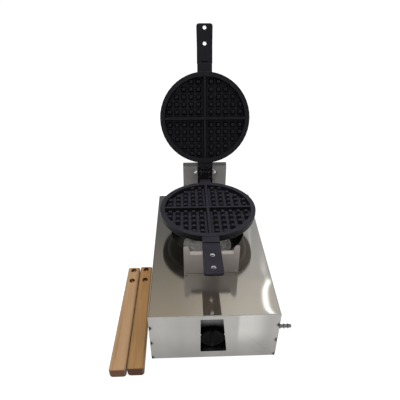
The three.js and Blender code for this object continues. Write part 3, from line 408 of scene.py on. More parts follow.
def notch_shade_and_seam(tree, colour):
    """Darkens a colour round the notches at both edges, as painted shade, and along the right edge's
    seam.
    """
    for level in NOTCH_SHADE_LEVELS:
        for edge in PANEL_EDGES:
            # painted shade round each notch
            mark = bell(tree, object_place(tree), (edge, PANEL_FACE, level), NOTCH_SHADE_REACH)
            strong = maths(tree, "MINIMUM", maths(tree, "MULTIPLY", mark, NOTCH_SHADE_GAIN), 1.0)
            colour = blend(tree, strong, colour, NOTCH_AND_SEAM_DARK)
    side = coordinate(tree, object_place(tree), "X")
    seam = smooth_step(tree, side, SEAM_STARTS, SEAM_STARTS + SEAM_EASE, 0.0, SEAM_STRENGTH)
    return blend(tree, seam, colour, NOTCH_AND_SEAM_DARK)


def satin_steel(name, colour, smear, metallic=1.0, roughness=SATIN_ROUGHNESS, panel=False):
    """Brushed steel: fine lines vary its roughness and raise it under a thousandth of a
    millimetre. A panel also has soft upright bands, painted shade towards its bottom edge and
    round the notches at both edges, a brighter band as a painted reflection, and a dark seam."""
    material, tree, surface = new_material(name)
    set_sockets(surface, Metallic=metallic, Anisotropic=SATIN_ANISOTROPY)
    point = object_place(tree)
    lines = noise(tree, object_place(tree, SATIN_GRAIN), detail=3.0)
    patches = noise(tree, point, *SATIN_PATCHES)
    darker = tuple(0.93 * c for c in colour)
    tone = ramp(tree, patches, [(0.35, darker), (0.65, colour)])
    if panel:
        bands = between(tree, noise(tree, object_place(tree, BAND_GRAIN), detail=1.0), *BAND_GAINS)
        x, z = (coordinate(tree, point, axis) for axis in "XZ")
        shade = smooth_step(tree, z, 0.0, FOOT_SHADE_ENDS, FOOT_SHADE, 1.0)
        # painted reflection: a brighter band to the right of the window
        band = maths(tree, "MULTIPLY", smooth_step(tree, x, *SHEEN_STARTS),
                     smooth_step(tree, x, *SHEEN_ENDS, 1.0, 0.0))
        patch = maths(tree, "MULTIPLY", band, smooth_step(tree, z, *SHEEN_LEVELS))
        with_sheen = maths(tree, "MULTIPLY_ADD", patch, SHEEN_GAIN, 1.0)
        gain = maths(tree, "MULTIPLY", maths(tree, "MULTIPLY", bands, shade), with_sheen)
        tone = notch_shade_and_seam(tree, scaled(tree, tone, gain))
    link(tree, tone, surface, "Base Color")
    roughen(tree, surface, lines, *roughness)
    grain_across(tree, surface, smear)
    raise_surface(tree, surface, lines, GRAIN_HEIGHT)
    return material


panel_steel = satin_steel("satin stainless panel", SATIN_COLOUR, UPRIGHT, panel=True)
dress("front_panel", panel_steel)
dress("rear_panel", panel_steel)

# Base plate: plain zinc-plated sheet with a hole near each corner. It is laid on the cover's
# lips, and the necks of the feet hold it there.
ZINC_COLOUR = (0.36, 0.36, 0.355)
ZINC_ROUGHNESS = (0.34, 0.5)
ZINC_BLOTCHES = (60.0, 4.0)  # cycles a metre, detail
ZINC_SPECKS = 1500.0
SPECK_HEIGHT = 0.000006


def blotchy(name, pattern, stops, roughness, metallic=1.0):
    """A finish whose colour and gloss both follow one soft noise."""
    material, tree, surface = new_material(name)
    set_sockets(surface, Metallic=metallic)
    blotches = noise(tree, object_place(tree), *pattern)
    link(tree, ramp(tree, blotches, stops), surface, "Base Color")
    roughen(tree, surface, blotches, *roughness)
    return material, tree, surface


def zinc_steel(name, colour=ZINC_COLOUR, roughness=ZINC_ROUGHNESS):
    """Dull plating with small soft blotches and fine specks."""
    stops = [(0.3, tuple(0.8 * c for c in colour)), (0.7, colour)]
    material, tree, surface = blotchy(name, ZINC_BLOTCHES, stops, roughness)
    specks = noise(tree, object_place(tree), ZINC_SPECKS, 2.0)
    raise_surface(tree, surface, specks, SPECK_HEIGHT)
    return material


zinc = zinc_steel("zinc plated steel")
dress("base_plate", zinc)

# Feet: four push-in rubber feet, turned shapes with a rounded edge and a ring cut in the sole,
# which grips the worktop. Their barbed necks pass through the base plate and the cover's lips.
FOOT_ROUND = 0.0012
EASE_LIMIT = 0.45  # of a side
FOOT_SIDES = 48
SOLE_RING_SHARES = (0.45, 0.62)  # of the radius, as the next three are
SOLE_SHARE = 0.8
NECK_SHARE = 0.425
BARB_SHARE = 0.6
TIP_SHARE = 0.8  # of the neck
SOLE_RING_DEPTH = 0.0008
WALL_SHARE = 0.45  # of the height, below which the foot narrows
SHOULDER_DROP = 0.0003
BARB_PLACES = (0.0021, 0.0019)  # its start and its widest place, below the top
RUBBER_DUST = (300.0, 3.0)  # cycles a metre, detail
RUBBER_ROUGHNESS = (0.65, 0.85)
RUBBER_GRAIN = 1800.0
RUBBER_GRAIN_HEIGHT = 0.00002


def span(name):
    """Lowest corner, highest corner and middle of a CAD node, as arrays in metres."""
    low, high = (np.array(corner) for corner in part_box(name))
    return low, high, (low + high) / 2


def rounded(profile, reach, steps=4):
    """Eases a profile's inner corners: each becomes a quadratic curve from a point before the
    corner to one after it, both at most reach away along the sides and under half a side."""
    points = np.asarray(profile, float)
    before, corner, after = points[:-2], points[1:-1], points[2:]
    t = np.linspace(0.0, 1.0, steps + 1)[None, :, None]
    ends = []
    for other in (before, after):
        side = other - corner
        length = np.maximum(np.linalg.norm(side, axis=1, keepdims=True), 1e-9)
        ends.append(corner + side / length * np.minimum(reach, EASE_LIMIT * length))
    curve = ((1 - t) ** 2 * ends[0][:, None] + 2 * t * (1 - t) * corner[:, None]
             + t ** 2 * ends[1][:, None])
    return np.vstack((points[:1], curve.reshape(-1, 2), points[-1:]))


def along_axis(across_1, across_2, along, axis, centre):
    """Puts two crosswise coordinates and one along the axis into the frame."""
    order = {"x": (along, across_1, across_2), "y": (across_2, along, across_1),
             "z": (across_1, across_2, along)}[axis]
    return np.stack(order, axis=-1) + np.asarray(centre)


def turned(profile, axis, centre, sides=FOOT_SIDES, outline=None):
    """A surface of revolution: radius r and place s along the axis, at angle a, give
    (r cos a, r sin a, s). An outline(a) of shares makes it other than round."""
    radius, along = np.asarray(profile, float).T
    angle = np.linspace(0.0, 2 * np.pi, sides, endpoint=False)
    share = np.ones(sides) if outline is None else outline(angle)
    reach = radius[:, None] * share
    return along_axis(reach * np.cos(angle), reach * np.sin(angle),
                      np.broadcast_to(along[:, None], reach.shape), axis, centre)


def grid_faces(rows, columns, start, around=True):
    """Quads between neighbouring rows and columns of a grid, the last column meeting the first."""
    row = np.arange(rows - 1)[:, None]
    column = np.arange(columns if around else columns - 1)[None, :]
    beside = (column + 1) % columns
    corners = (row * columns + column, row * columns + beside,
               (row + 1) * columns + beside, (row + 1) * columns + column)
    return np.stack(corners, axis=-1).reshape(-1, 4) + start


def add_piece(name, grids, material, body, replaced=(), around=True, smooth=SMOOTH_DEGREES):
    """Makes one piece of one or more grids of points: poles and seams are merged, faces are
    turned outwards, and the piece rides on its body."""
    points, faces, count = [], [], 0
    for grid in grids:
        points.append(grid.reshape(-1, 3))
        faces.append(grid_faces(grid.shape[0], grid.shape[1], count, around))
        count += len(points[-1])
    mesh = bpy.data.meshes.new(name)
    mesh.from_pydata(np.vstack(points).tolist(), [], np.vstack(faces).tolist())
    edit = bmesh.new()
    edit.from_mesh(mesh)
    bmesh.ops.remove_doubles(edit, verts=edit.verts, dist=SAME_POINT)
    bmesh.ops.recalc_face_normals(edit, faces=edit.faces)
    edit.to_mesh(mesh)
    edit.free()
    mesh.polygons.foreach_set("use_smooth", [True] * len(mesh.polygons))
    mesh.set_sharp_from_angle(angle=math.radians(smooth))
    mesh.materials.append(material)
    obj = add_object(name, mesh)
    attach(obj, body)
    for one in replaced:
        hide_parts(one)
    return obj


def black_rubber():
    """Matt black rubber with a fine moulded grain and a trace of dust."""
    stops = [(0.45, 0.012), (0.75, 0.035)]
    material, tree, surface = blotchy("black rubber", RUBBER_DUST, stops, RUBBER_ROUGHNESS, 0.0)
    set_sockets(surface, Specular_IOR_Level=0.3)
    grain = noise(tree, object_place(tree), RUBBER_GRAIN)
    raise_surface(tree, surface, grain, RUBBER_GRAIN_HEIGHT)
    return material


rubber = black_rubber()
for name in [n for n in nodes if n.startswith("foot_")]:
    low, high, middle = span(name)
    radius = (high[0] - low[0]) / 2
    sole, top = low[2], high[2]
    shoulder = -SHOULDER_DROP
    neck, barb = NECK_SHARE * radius, BARB_SHARE * radius
    barb_start, barb_crest = (top - below for below in BARB_PLACES)
    ring = [share * radius for share in SOLE_RING_SHARES]
    profile = rounded([
        (0.0, sole), (ring[0], sole), (ring[0] + SOLE_RING_DEPTH, sole + SOLE_RING_DEPTH),
        (ring[1] - SOLE_RING_DEPTH, sole + SOLE_RING_DEPTH), (ring[1], sole),
        (SOLE_SHARE * radius, sole), (radius, WALL_SHARE * sole), (radius, shoulder), (neck, shoulder),
        (neck, barb_start), (barb, barb_crest), (TIP_SHARE * neck, top), (0.0, top),
    ], FOOT_ROUND)
    add_piece(name + "_moulded", [turned(profile, "z", (middle[0], middle[1], 0.0))],
              rubber, "casing", [name])

# Brackets: two bent plates of satin stainless sheet, screwed to the top. The front one has two
# ears and a folded lip that the flat bars lie on, the rear one has folded edges and the bearing.
UPWARD_SHADE_SHARE = 0.28  # painted shade: share of the rear one's colour on faces that look up
UPWARD_SHADE_STARTS = (0.4, 0.8)  # share of a face that looks up


def shade_upward_faces(material):
    """Darkens a steel's colour on the folds that face upwards, as painted shade."""
    tree = material.node_tree
    base = tree.nodes["Principled BSDF"].inputs["Base Color"]
    normal = node(tree, "ShaderNodeNewGeometry").outputs["Normal"]
    share = smooth_step(tree, coordinate(tree, normal, "Z"), *UPWARD_SHADE_STARTS, 1.0, UPWARD_SHADE_SHARE)
    tree.links.new(scaled(tree, base.links[0].from_socket, share), base)


FRONT_BRACKET_COLOUR = (0.53, 0.487, 0.47)
REAR_BRACKET_COLOUR = (0.64, 0.63, 0.625)
FRONT_METALLIC = 0.85
REAR_METALLIC = 0.3  # greyer, under a film of old fat
BRACKET_ROUGHNESS = (0.36, 0.44)
front_steel = satin_steel("satin stainless front bracket", FRONT_BRACKET_COLOUR, UPRIGHT,
                          FRONT_METALLIC, BRACKET_ROUGHNESS)
dress("front_bracket", front_steel)
rear_steel = satin_steel("satin stainless rear bracket", REAR_BRACKET_COLOUR, UPRIGHT,
                         REAR_METALLIC, BRACKET_ROUGHNESS)
# painted shade on the rear bracket's upward folds
shade_upward_faces(rear_steel)
dress("rear_bracket", rear_steel)

# Screws of the brackets and the rear panel: pan-head machine screws with a cross recess, of
# zinc-plated steel, driven into the sheet.
HEAD_ROWS = 26
HEAD_SIDES = 64
HEAD_ROWS_POWER = 0.8  # crowds the rows towards the rim
LEAST_HEAD = 0.04  # of the head's height, left under a recess
CROSS_LENGTH = 0.6  # of the head's radius
CROSS_WIDTH = 0.16
CROSS_DEPTH = 0.55  # of the head's height
CROSS_SLOPES = (0.07, 0.1)
HEAD_HEIGHT = 0.0017
SIDE_SCREW_SEAT = 0.1253  # from the middle
FLAT_EDGE = 40.0  # degrees, a duller limit for small turned heads


def screw_head(radius, height, axis, seat, side, recess):
    """A domed head: height h (1 - r^4) ^ 0.5 at share r of its radius, less a recess of given
    depth wherever recess(x, y) says, closed by a flat underside."""
    share = np.linspace(0.0, 1.0, HEAD_ROWS) ** HEAD_ROWS_POWER
    angle = np.linspace(0.0, 2 * np.pi, HEAD_SIDES, endpoint=False)
    x, y = share[:, None] * np.cos(angle), share[:, None] * np.sin(angle)
    dome = np.sqrt(np.maximum(1 - share ** 4, 0.0))[:, None] * np.ones_like(x)
    top = height * np.maximum(dome - CROSS_DEPTH * recess(x, y), LEAST_HEAD)
    flat = np.zeros((1, HEAD_SIDES))
    xs, ys = (np.vstack((c, c[-1:], flat)) for c in (x, y))
    zs = np.vstack((top, flat, flat))
    return along_axis(radius * xs, radius * ys, side * zs, axis, seat)


def cross_recess(x, y):
    """1 inside either arm of a cross, falling to 0 over a short slope."""
    across, along = CROSS_SLOPES
    arms = [np.clip((CROSS_WIDTH - np.abs(a)) / across, 0, 1)
            * np.clip((CROSS_LENGTH - np.abs(b)) / along, 0, 1)
            for a, b in ((x, y), (y, x))]
    return np.maximum(*arms)


DULL_ZINC_COLOUR = (0.10, 0.095, 0.09)
DULL_ZINC_ROUGHNESS = (0.45, 0.6)
dull_zinc = zinc_steel("dull zinc screws", DULL_ZINC_COLOUR, DULL_ZINC_ROUGHNESS)
for name in [n for n in nodes if "screw" in n]:
    low, high, middle = span(name)
    if name.startswith("side"):
        side = 1.0 if "right" in name else -1.0
        axis, seat = "x", (side * SIDE_SCREW_SEAT, middle[1], middle[2])
        radius = (high[2] - low[2]) / 2
    else:
        side, axis, seat = 1.0, "z", (middle[0], middle[1], high[2] - HEAD_HEIGHT)
        radius = (high[0] - low[0]) / 2
    add_piece(name + "_head", [screw_head(radius, HEAD_HEIGHT, axis, seat, side, cross_recess)],
              dull_zinc, "casing", [name], smooth=FLAT_EDGE)

# Irons: two round plates of cast iron, each with a ring of flat rim, square studs and a raised
# cross that parts the waffle, cast in one with a neck at the hinge and a flat bar for its grip.
# Years of baked oil make them near black and satin, a little bluish.
IRON_DARK = (0.0122, 0.0115, 0.0152)
# painted light: the lower iron, which faces up, is painted lighter and the upper one darker
IRON_PAINTED_LIGHT_GAIN = {"lower": 1.4, "upper": 0.85}
IRON_STEEP_SHADE = (0.0060, 0.0057, 0.0072)
IRON_SCORCH_AND_LIGHT = (0.085, 0.072, 0.060)
IRON_BARE_AND_LIT = (0.36, 0.31, 0.27)  # the bar's underside out of the flames, and painted light on the lower iron's right underside
BARE_FROM = (0.07, 0.12)  # from the middle, towards the bar's end
PAINTED_LIGHT_SIDE = {"lower": (0.0, 0.06), "upper": (0.9, 1.0)}  # painted light, from the middle towards the right
IRON_DRILLED_HIGHLIGHT = (0.9, 0.9, 0.9)
IRON_SPECULAR = 0.12
IRON_ROUGHNESS = (0.42, 0.6)
IRON_BEVEL = 0.0007
IRON_CENTRE = Vector((0.0, 0.049, 0.194))
OPEN_DEGREES = 108.0
HINGE_PLACE = Vector((0.0, 0.1862, 0.2106))
BAR_LENGTH = 0.218  # from the middle
BAR_HOLE = 0.0045
BAR_HEIGHTS = (-0.0085, -0.0065)  # hole walls are painted bright above this, from the working face: bare metal with a painted highlight
HOLES_FROM_END = {"lower": (0.017, 0.0523), "upper": (0.009, 0.0443)}
IRON_OIL = (38.0, 4.0, 0.6)  # cycles a metre, detail, roughness
STEEP_FACES = (0.35, 0.75, 0.8, 0.0)  # from and to which slope, how much painted shade at each
SCORCH_AND_LIGHT_SPAN = (0.2, 0.6, 0.6, 1.0)
CASTING_GRAIN = (1100.0, 3.0, 0.7)
CASTING_HEIGHT = 0.00004


def seasoned_iron(name, gain, painted_light_side, middle, facing, outward, holes):
    """Near-black iron: sand-cast grain, painted shade where faces are steep, and a scorched back
    with lighter patches that are partly painted light. The back is bare towards the bar's end where no
    flame reaches it and painted lighter on the lower iron's right half, and the walls of the bar's
    drilled holes are bare metal with a painted highlight."""
    material, tree, surface = new_material(name)
    set_sockets(surface, Specular_IOR_Level=IRON_SPECULAR)
    point = object_place(tree)
    oil = noise(tree, point, *IRON_OIL)
    tone = ramp(tree, oil, [(0.35, tuple(gain * c for c in IRON_DARK)),
                            (0.7, tuple(1.3 * gain * c for c in IRON_DARK))])
    normal = node(tree, "ShaderNodeTexCoord").outputs["Normal"]
    slope = vector_maths(tree, "DOT_PRODUCT", normal, facing)
    # painted shade on steep faces
    steep = smooth_step(tree, maths(tree, "ABSOLUTE", slope), *STEEP_FACES)
    away = vector_maths(tree, "SUBTRACT", point, middle)
    height = vector_maths(tree, "DOT_PRODUCT", away, facing)
    turned_away = maths(tree, "LESS_THAN", slope, -0.5)
    # scorched patches on the underside, made lighter as painted light under the iron
    scorched_lit = maths(tree, "MULTIPLY", turned_away, smooth_step(tree, oil, *SCORCH_AND_LIGHT_SPAN))
    along = vector_maths(tree, "DOT_PRODUCT", away, outward)
    # lighter towards the bar's end, which is bare, and on the lower iron's right underside, painted
    # light
    lighter_share = maths(tree, "MAXIMUM", smooth_step(tree, along, *BARE_FROM),
                  smooth_step(tree, coordinate(tree, away, "X"), *painted_light_side))
    bare = maths(tree, "MULTIPLY", turned_away, lighter_share)
    marks = [(steep, IRON_STEEP_SHADE), (scorched_lit, IRON_SCORCH_AND_LIGHT), (bare, IRON_BARE_AND_LIT)]
    for hole in holes:
        off = vector_maths(tree, "SUBTRACT", away, outward * hole)
        far = vector_maths(tree, "LENGTH", vector_maths(tree, "CROSS_PRODUCT", off, facing))
        inside = maths(tree, "LESS_THAN", far, BAR_HOLE)
        # bright hole walls, bare drilled metal with a painted highlight
        drilled = maths(tree, "MULTIPLY", inside, smooth_step(tree, height, *BAR_HEIGHTS))
        marks.append((drilled, IRON_DRILLED_HIGHLIGHT))
    for share, colour in marks:
        tone = blend(tree, share, tone, (*colour, 1.0))
    link(tree, tone, surface, "Base Color")
    roughen(tree, surface, oil, *IRON_ROUGHNESS)
    sand = noise(tree, point, *CASTING_GRAIN)
    raise_surface(tree, surface, sand, CASTING_HEIGHT)
    return material


opening = Matrix.Rotation(-math.radians(OPEN_DEGREES), 3, "X")
bars = {
    "lower": (IRON_CENTRE, Vector((0.0, 0.0, 1.0)), Vector((0.0, -1.0, 0.0))),
    "upper": (HINGE_PLACE + opening @ (IRON_CENTRE - HINGE_PLACE), opening @ Vector((0.0, 0.0, -1.0)),
              opening @ Vector((0.0, -1.0, 0.0))),
}
for which, (middle, facing, outward) in bars.items():
    holes = [BAR_LENGTH - back for back in HOLES_FROM_END[which]]
    iron = seasoned_iron("seasoned cast iron " + which, IRON_PAINTED_LIGHT_GAIN[which], PAINTED_LIGHT_SIDE[which],
                         middle, facing, outward, holes)
    dress(which + "_iron", iron, IRON_BEVEL)

# Hinge of the irons: a ground steel pin through fork and knuckle, with a chromed acorn nut
# screwed on each end.
CHROME_COLOUR = (0.82, 0.82, 0.83)
SMOKY_CHROME_COLOUR = (0.80, 0.80, 0.82)
CHROME_ROUGHNESS = (0.06, 0.14)
CHROME_MARKS = (90.0, 3.0)
NUT_SIDES = 72
HEX_SHARE = math.cos(math.pi / 6)
FACE_SHARE = 0.97  # of the inscribed circle, for a nut's end face
CHAMFER_SHARES = (0.0, 0.3, 0.6, 1.0)
CHAMFER_SLOPE = 1.7
PIN_EASE = 0.0006
THREAD_GAP = 0.0003
DOME_SHARE = 0.78  # of the corner radius
DOME_ROWS = 14
SKIRT_SHARE = 0.42  # of the nut's length
DOME_SEAT = 0.0005


def chromed_steel(name, colour):
    """Bright plating with faint wiping marks in its gloss."""
    material, tree, surface = new_material(name)
    set_sockets(surface, Base_Color=colour, Metallic=1.0)
    marks = noise(tree, object_place(tree), *CHROME_MARKS)
    roughen(tree, surface, marks, *CHROME_ROUGHNESS)
    return material


def hexagon(angle):
    """Share of the corner radius at which a hexagon's side lies, seen at an angle."""
    return HEX_SHARE / np.cos((angle % (np.pi / 3)) - np.pi / 6)


def hexagon_body(bore, radius, along, axis, centre, sides=NUT_SIDES):
    """A nut: the lesser of a hexagon's outline and a cone that narrows to its inscribed circle
    at both ends, with a round bore through it."""
    start, end = along
    face = radius * HEX_SHARE * FACE_SHARE
    angle = np.linspace(0.0, 2 * np.pi, sides, endpoint=False)
    depth = np.array(CHAMFER_SHARES) * (radius - face)
    inward = np.concatenate((depth, (end - start) - depth[::-1]))
    cone = face + np.minimum(inward, (end - start) - inward) * CHAMFER_SLOPE
    outer = np.minimum(cone[:, None], radius * hexagon(angle)[None, :])
    inner = np.full((1, sides), bore)
    reach = np.vstack((inner, outer, inner, inner))
    place = np.concatenate(([0.0], inward, [end - start], [0.0])) + start
    return along_axis(reach * np.cos(angle), reach * np.sin(angle),
                      np.broadcast_to(place[:, None], reach.shape), axis, centre)


chrome = chromed_steel("chromed steel", CHROME_COLOUR)
old_chrome = chromed_steel("smoky chromed steel", SMOKY_CHROME_COLOUR)
low, high, middle = span("hinge_pin")
pin_centre = (0.0, middle[1], middle[2])
pin_radius = (high[2] - low[2]) / 2
pin_profile = rounded([
    (0.0, low[0]), (pin_radius, low[0]), (pin_radius, high[0]), (0.0, high[0]),
], PIN_EASE)
add_piece("hinge_pin_ground", [turned(pin_profile, "x", pin_centre)],
          chrome, "lower_iron", ["hinge_pin"])
for hand, side in (("left", -1.0), ("right", 1.0)):
    low, high, middle = span("hinge_nut_" + hand)
    radius = (high[2] - low[2]) / 2
    near, far = sorted((abs(low[0]), abs(high[0])))
    skirt = near + SKIRT_SHARE * (far - near)
    swell = np.linspace(0.0, np.pi / 2, DOME_ROWS)
    dome_radius = DOME_SHARE * radius
    dome = np.stack((dome_radius * np.cos(swell), skirt + (far - skirt) * np.sin(swell)), axis=1)
    profile = np.vstack(((0.0, near + DOME_SEAT), (dome_radius, near + DOME_SEAT), dome))
    profile[:, 1] *= side
    along = sorted((side * near, side * skirt))
    add_piece("acorn_nut_" + hand, [
        turned(profile, "x", pin_centre, NUT_SIDES),
        hexagon_body(pin_radius + THREAD_GAP, radius, along, "x", pin_centre),
    ], old_chrome, "lower_iron", ["hinge_nut_" + hand])

# Swivel: a steel shaft in the lower iron turns in a loose brass bush in the rear bracket, and a
# washer and nut keep it there, so the closed irons can be turned over the fire.
BRASS_COLOUR = (0.52, 0.36, 0.15)
BRASS_TARNISH = (70.0, 4.0)
BRASS_ROUGHNESS = (0.22, 0.38)
SHAFT_RADIUS = 0.006
SHAFT_HEAD_LENGTH = 0.0017
SHAFT_EASE = 0.0006
BUSH_RADIUS = 0.009
BUSH_COLLAR = (0.011, 0.0024)  # radius, length
RING_EASE = 0.0004


def plain_brass(name, colour=BRASS_COLOUR):
    """Machined brass, a little tarnished in soft patches."""
    stops = [(0.35, tuple(0.7 * c for c in colour)), (0.65, colour)]
    return blotchy(name, BRASS_TARNISH, stops, BRASS_ROUGHNESS)[0]


brass = plain_brass("machined brass")
swivel_centre = (0.0, 0.0, span("swivel_shaft")[2][2])
low, high, middle = span("swivel_shaft")
head, head_end = (high[0] - low[0]) / 2, low[1] + SHAFT_HEAD_LENGTH
profile = rounded([(0.0, low[1]), (head, low[1]), (head, head_end), (SHAFT_RADIUS, head_end),
                   (SHAFT_RADIUS, high[1]), (0.0, high[1])], SHAFT_EASE)
add_piece("swivel_shaft_turned", [turned(profile, "y", swivel_centre)],
          zinc, "lower_iron", ["swivel_shaft"])


def turned_ring(profile, axis, centre, reach):
    """A profile that closes on itself, eased at its corners and turned about the axis."""
    corners = np.asarray(profile, float)
    start = (corners[0] + corners[1]) / 2
    loop = np.vstack((start, corners[1:], corners[:1], start))
    return turned(rounded(loop, reach), axis, centre)


bore = SHAFT_RADIUS + THREAD_GAP
low, high, middle = span("swivel_bush")
collar_radius, collar_length = BUSH_COLLAR
collar = low[1] + collar_length
add_piece("swivel_bush_turned", [turned_ring([
    (bore, low[1]), (collar_radius, low[1]), (collar_radius, collar),
    (BUSH_RADIUS, collar), (BUSH_RADIUS, high[1]), (bore, high[1]),
], "y", swivel_centre, RING_EASE)], brass, "swivel", ["swivel_bush"])
low, high, middle = span("swivel_washer")
washer = (high[0] - low[0]) / 2
add_piece("swivel_washer_turned", [turned_ring([
    (bore, low[1]), (washer, low[1]), (washer, high[1]), (bore, high[1]),
], "y", swivel_centre, RING_EASE)], chrome, "lower_iron", ["swivel_washer"])


def add_nut(name, bore, axis, body, centre=None):
    """A zinc-plated hexagon nut over the whole length of its CAD node, along the axis."""
    low, high, middle = span(name)
    along = "xyz".index(axis)
    across = np.delete(high - low, along)
    if centre is None:
        centre = middle * (np.arange(3) != along)
    add_piece(name + "_hexagon", [
        hexagon_body(bore, max(across) / 2, (low[along], high[along]), axis, centre),
    ], zinc, body, [name])


add_nut("swivel_nut", bore, "y", "lower_iron", swivel_centre)

# Burner: a pressed steel cup with a plate of slanted slots let into its top, standing on a folded
# bridge over a shallow drip tray. The cup is coloured dark, as painted shade seen through the slots,
# the plate is bright steel tinted brown by the flames, and each slot has a raised lip beside it,
# painted lighter than the plate as a painted highlight.
PLATE_COLOUR = (0.90, 0.89, 0.88)
PLATE_TINT = (0.66, 0.62, 0.58)
PORT_RING_SHARES = (0.42, 0.63, 0.86)
PORT_COUNTS = (14, 22, 30)
PORT_SLANT = math.radians(38.0)
LIP_LENGTH = 0.0086
LIP_WIDTH = 0.0026
LIP_HEIGHT = 0.0016
LIP_OFFSET = 0.0018  # from its slot's middle
LIP_SINK = 0.0001  # into the plate
LIP_PAINTED_LIGHT_COLOUR = (0.97, 0.96, 0.95)
BURNER_SOOT = (45.0, 4.0, 0.6)
PLATE_METALLIC = 0.1
PLATE_ROUGHNESS = (0.3, 0.5)


def burner_steel(name, colour, tint):
    """Satin steel that goes brown in soft patches, where the flames stand."""
    stops = [(0.42, colour), (0.72, tint)]
    return blotchy(name, BURNER_SOOT, stops, PLATE_ROUGHNESS, PLATE_METALLIC)[0]


dress("burner_port_plate", burner_steel("burner plate steel", PLATE_COLOUR, PLATE_TINT))
for name in ("burner_stand", "drip_tray"):
    dress(name, zinc)
# the cup's dark colour is painted shade, seen through the slots
dress("burner_head", dull_zinc)
low, high, plate_middle = span("burner_port_plate")
plate_radius, plate_top = (high[0] - low[0]) / 2, high[2]


def slot_lips():
    """Small ridges: across share u and along share v of a lip, the height is
    (1 - u^2) (1 - v^4), and each stands beside its slot, turned with it round the plate."""
    u, v = np.meshgrid(np.linspace(-1, 1, 5), np.linspace(-1, 1, 9), indexing="ij")
    crest = LIP_HEIGHT * (1 - u ** 2) * (1 - v ** 4)
    over = np.stack((v * LIP_LENGTH / 2, u * LIP_WIDTH / 2 + LIP_OFFSET, crest - LIP_SINK), axis=-1)
    lips = []
    for index, (share, count) in enumerate(zip(PORT_RING_SHARES, PORT_COUNTS)):
        slant = -PORT_SLANT if index % 2 else PORT_SLANT
        for angle in np.arange(count) * 2 * np.pi / count:
            turn = Matrix.Rotation(slant, 3, "Z")
            round_plate = Matrix.Rotation(angle, 3, "Z")
            lip = over @ np.array(turn).T + np.array((share * plate_radius, 0.0, 0.0))
            lips.append(lip @ np.array(round_plate).T + np.array((0.0, plate_middle[1], plate_top)))
    return lips


# the lips are painted lighter than the plate steel: a painted highlight
lit_lip_steel = burner_steel("burner lip steel painted lighter", LIP_PAINTED_LIGHT_COLOUR, PLATE_COLOUR)
add_piece("burner_slot_lips", slot_lips(), lit_lip_steel, "casing", around=False)

# Mixing tube, air shutter and jet: the tube leads gas and air to the burner, the drilled disc in
# front of its mouth sets the air, and the brass jet shoots gas through the disc's middle.
for name in ("mixing_tube", "air_shutter"):
    dress(name, zinc)
dress("gas_jet", brass)

# Gas tap: a brass block on a folded bracket behind the window, with its gland nut, its stem and a
# moulded knob that fills the window's width.
PAINTED_SHADE_LEVELS = (0.068, 0.096)
PAINTED_SHADE_EDGE = (60.0, 3.0)
PAINTED_SHADE_UNEVEN = 0.004  # height of its ragged edge
PAINTED_SHADE_ROUGHNESS = (0.7, 0.5)  # in the painted shade, above it
PAINTED_SHADE_COLOUR = (0.008, 0.008, 0.008)
PAINT_COLOUR = (0.60, 0.59, 0.60)
PLASTIC_COLOUR = (0.0018, 0.0020, 0.0024)
PLASTIC_SPECULAR = 0.025
PLASTIC_PEEL = (500.0, 2.0)
PEEL_HEIGHT = 0.00001
PLASTIC_ROUGHNESS = (0.16, 0.26)
GLAND_BORE = 0.0073
KNOB_SIDES = 96
KNOB_RIBS = 24
RIB_SHARE = 0.012  # of the radius
DIAL_DEPTH = 0.003  # of the disc's face behind the bar's front
DIAL_RISE = 0.0006
DIAL_SHARES = (0.62, 0.66, 0.90)  # of the radius: the raised middle, its foot, the rim
KNOB_WALL = 0.002
KNOB_STEM = (0.15, 0.008)  # share of the radius, length
KNOB_EASE = 0.0012
KNOB_EDGE = 35.0  # degrees, as FLAT_EDGE
GRIP_HALF_WIDTH = 0.004
GRIP_SHARE = 0.90  # of the radius
GRIP_EASE = 0.0016
GRIP_ROOT = 0.001


def black_plastic():
    """Glossy moulded plastic with a faint orange peel and a little dust."""
    material, tree, surface = new_material("black moulded plastic")
    set_sockets(surface, Base_Color=PLASTIC_COLOUR, Specular_IOR_Level=PLASTIC_SPECULAR)
    peel = noise(tree, object_place(tree), *PLASTIC_PEEL)
    roughen(tree, surface, peel, *PLASTIC_ROUGHNESS)
    raise_surface(tree, surface, peel, PEEL_HEIGHT)
    return material


def shaded_grey_steel():
    """Grey painted plate, grey along the top and going black lower down, as painted shade with a
    ragged edge.
    """
    material, tree, surface = new_material("grey painted steel with painted shade")
    set_sockets(surface, Specular_IOR_Level=0.2)
    level = coordinate(tree, object_place(tree), "Z")
    edge = noise(tree, object_place(tree), *PAINTED_SHADE_EDGE)
    uneven = maths(tree, "MULTIPLY_ADD", edge, PAINTED_SHADE_UNEVEN, level)
    lighter_share = smooth_step(tree, uneven, *PAINTED_SHADE_LEVELS)
    link(tree, ramp(tree, lighter_share, [(0.0, PAINTED_SHADE_COLOUR), (1.0, PAINT_COLOUR)]), surface, "Base Color")
    roughen(tree, surface, lighter_share, *PAINTED_SHADE_ROUGHNESS)
    return material


plastic = black_plastic()
dress("gas_tap", brass)
dress("tap_stem", brass)
# painted shade on the lower part of the bracket behind the knob
dress("tap_bracket", shaded_grey_steel())
add_nut("gland_nut", GLAND_BORE, "y", "casing")

low, high, middle = span("gas_knob")
knob_radius, knob_centre = (high[0] - low[0]) / 2, (middle[0], 0.0, middle[2])
front, back = low[1], high[1]
dial = front + DIAL_DEPTH
face, foot, rim = (share * knob_radius for share in DIAL_SHARES)
stem, stem_end = KNOB_STEM[0] * knob_radius, back - KNOB_STEM[1]
body = rounded([
    (0.0, dial + DIAL_RISE), (face, dial + DIAL_RISE), (foot, dial), (rim, dial),
    (knob_radius, back - KNOB_WALL), (knob_radius, back), (stem, back), (stem, stem_end),
    (0.0, stem_end),
], KNOB_EASE)


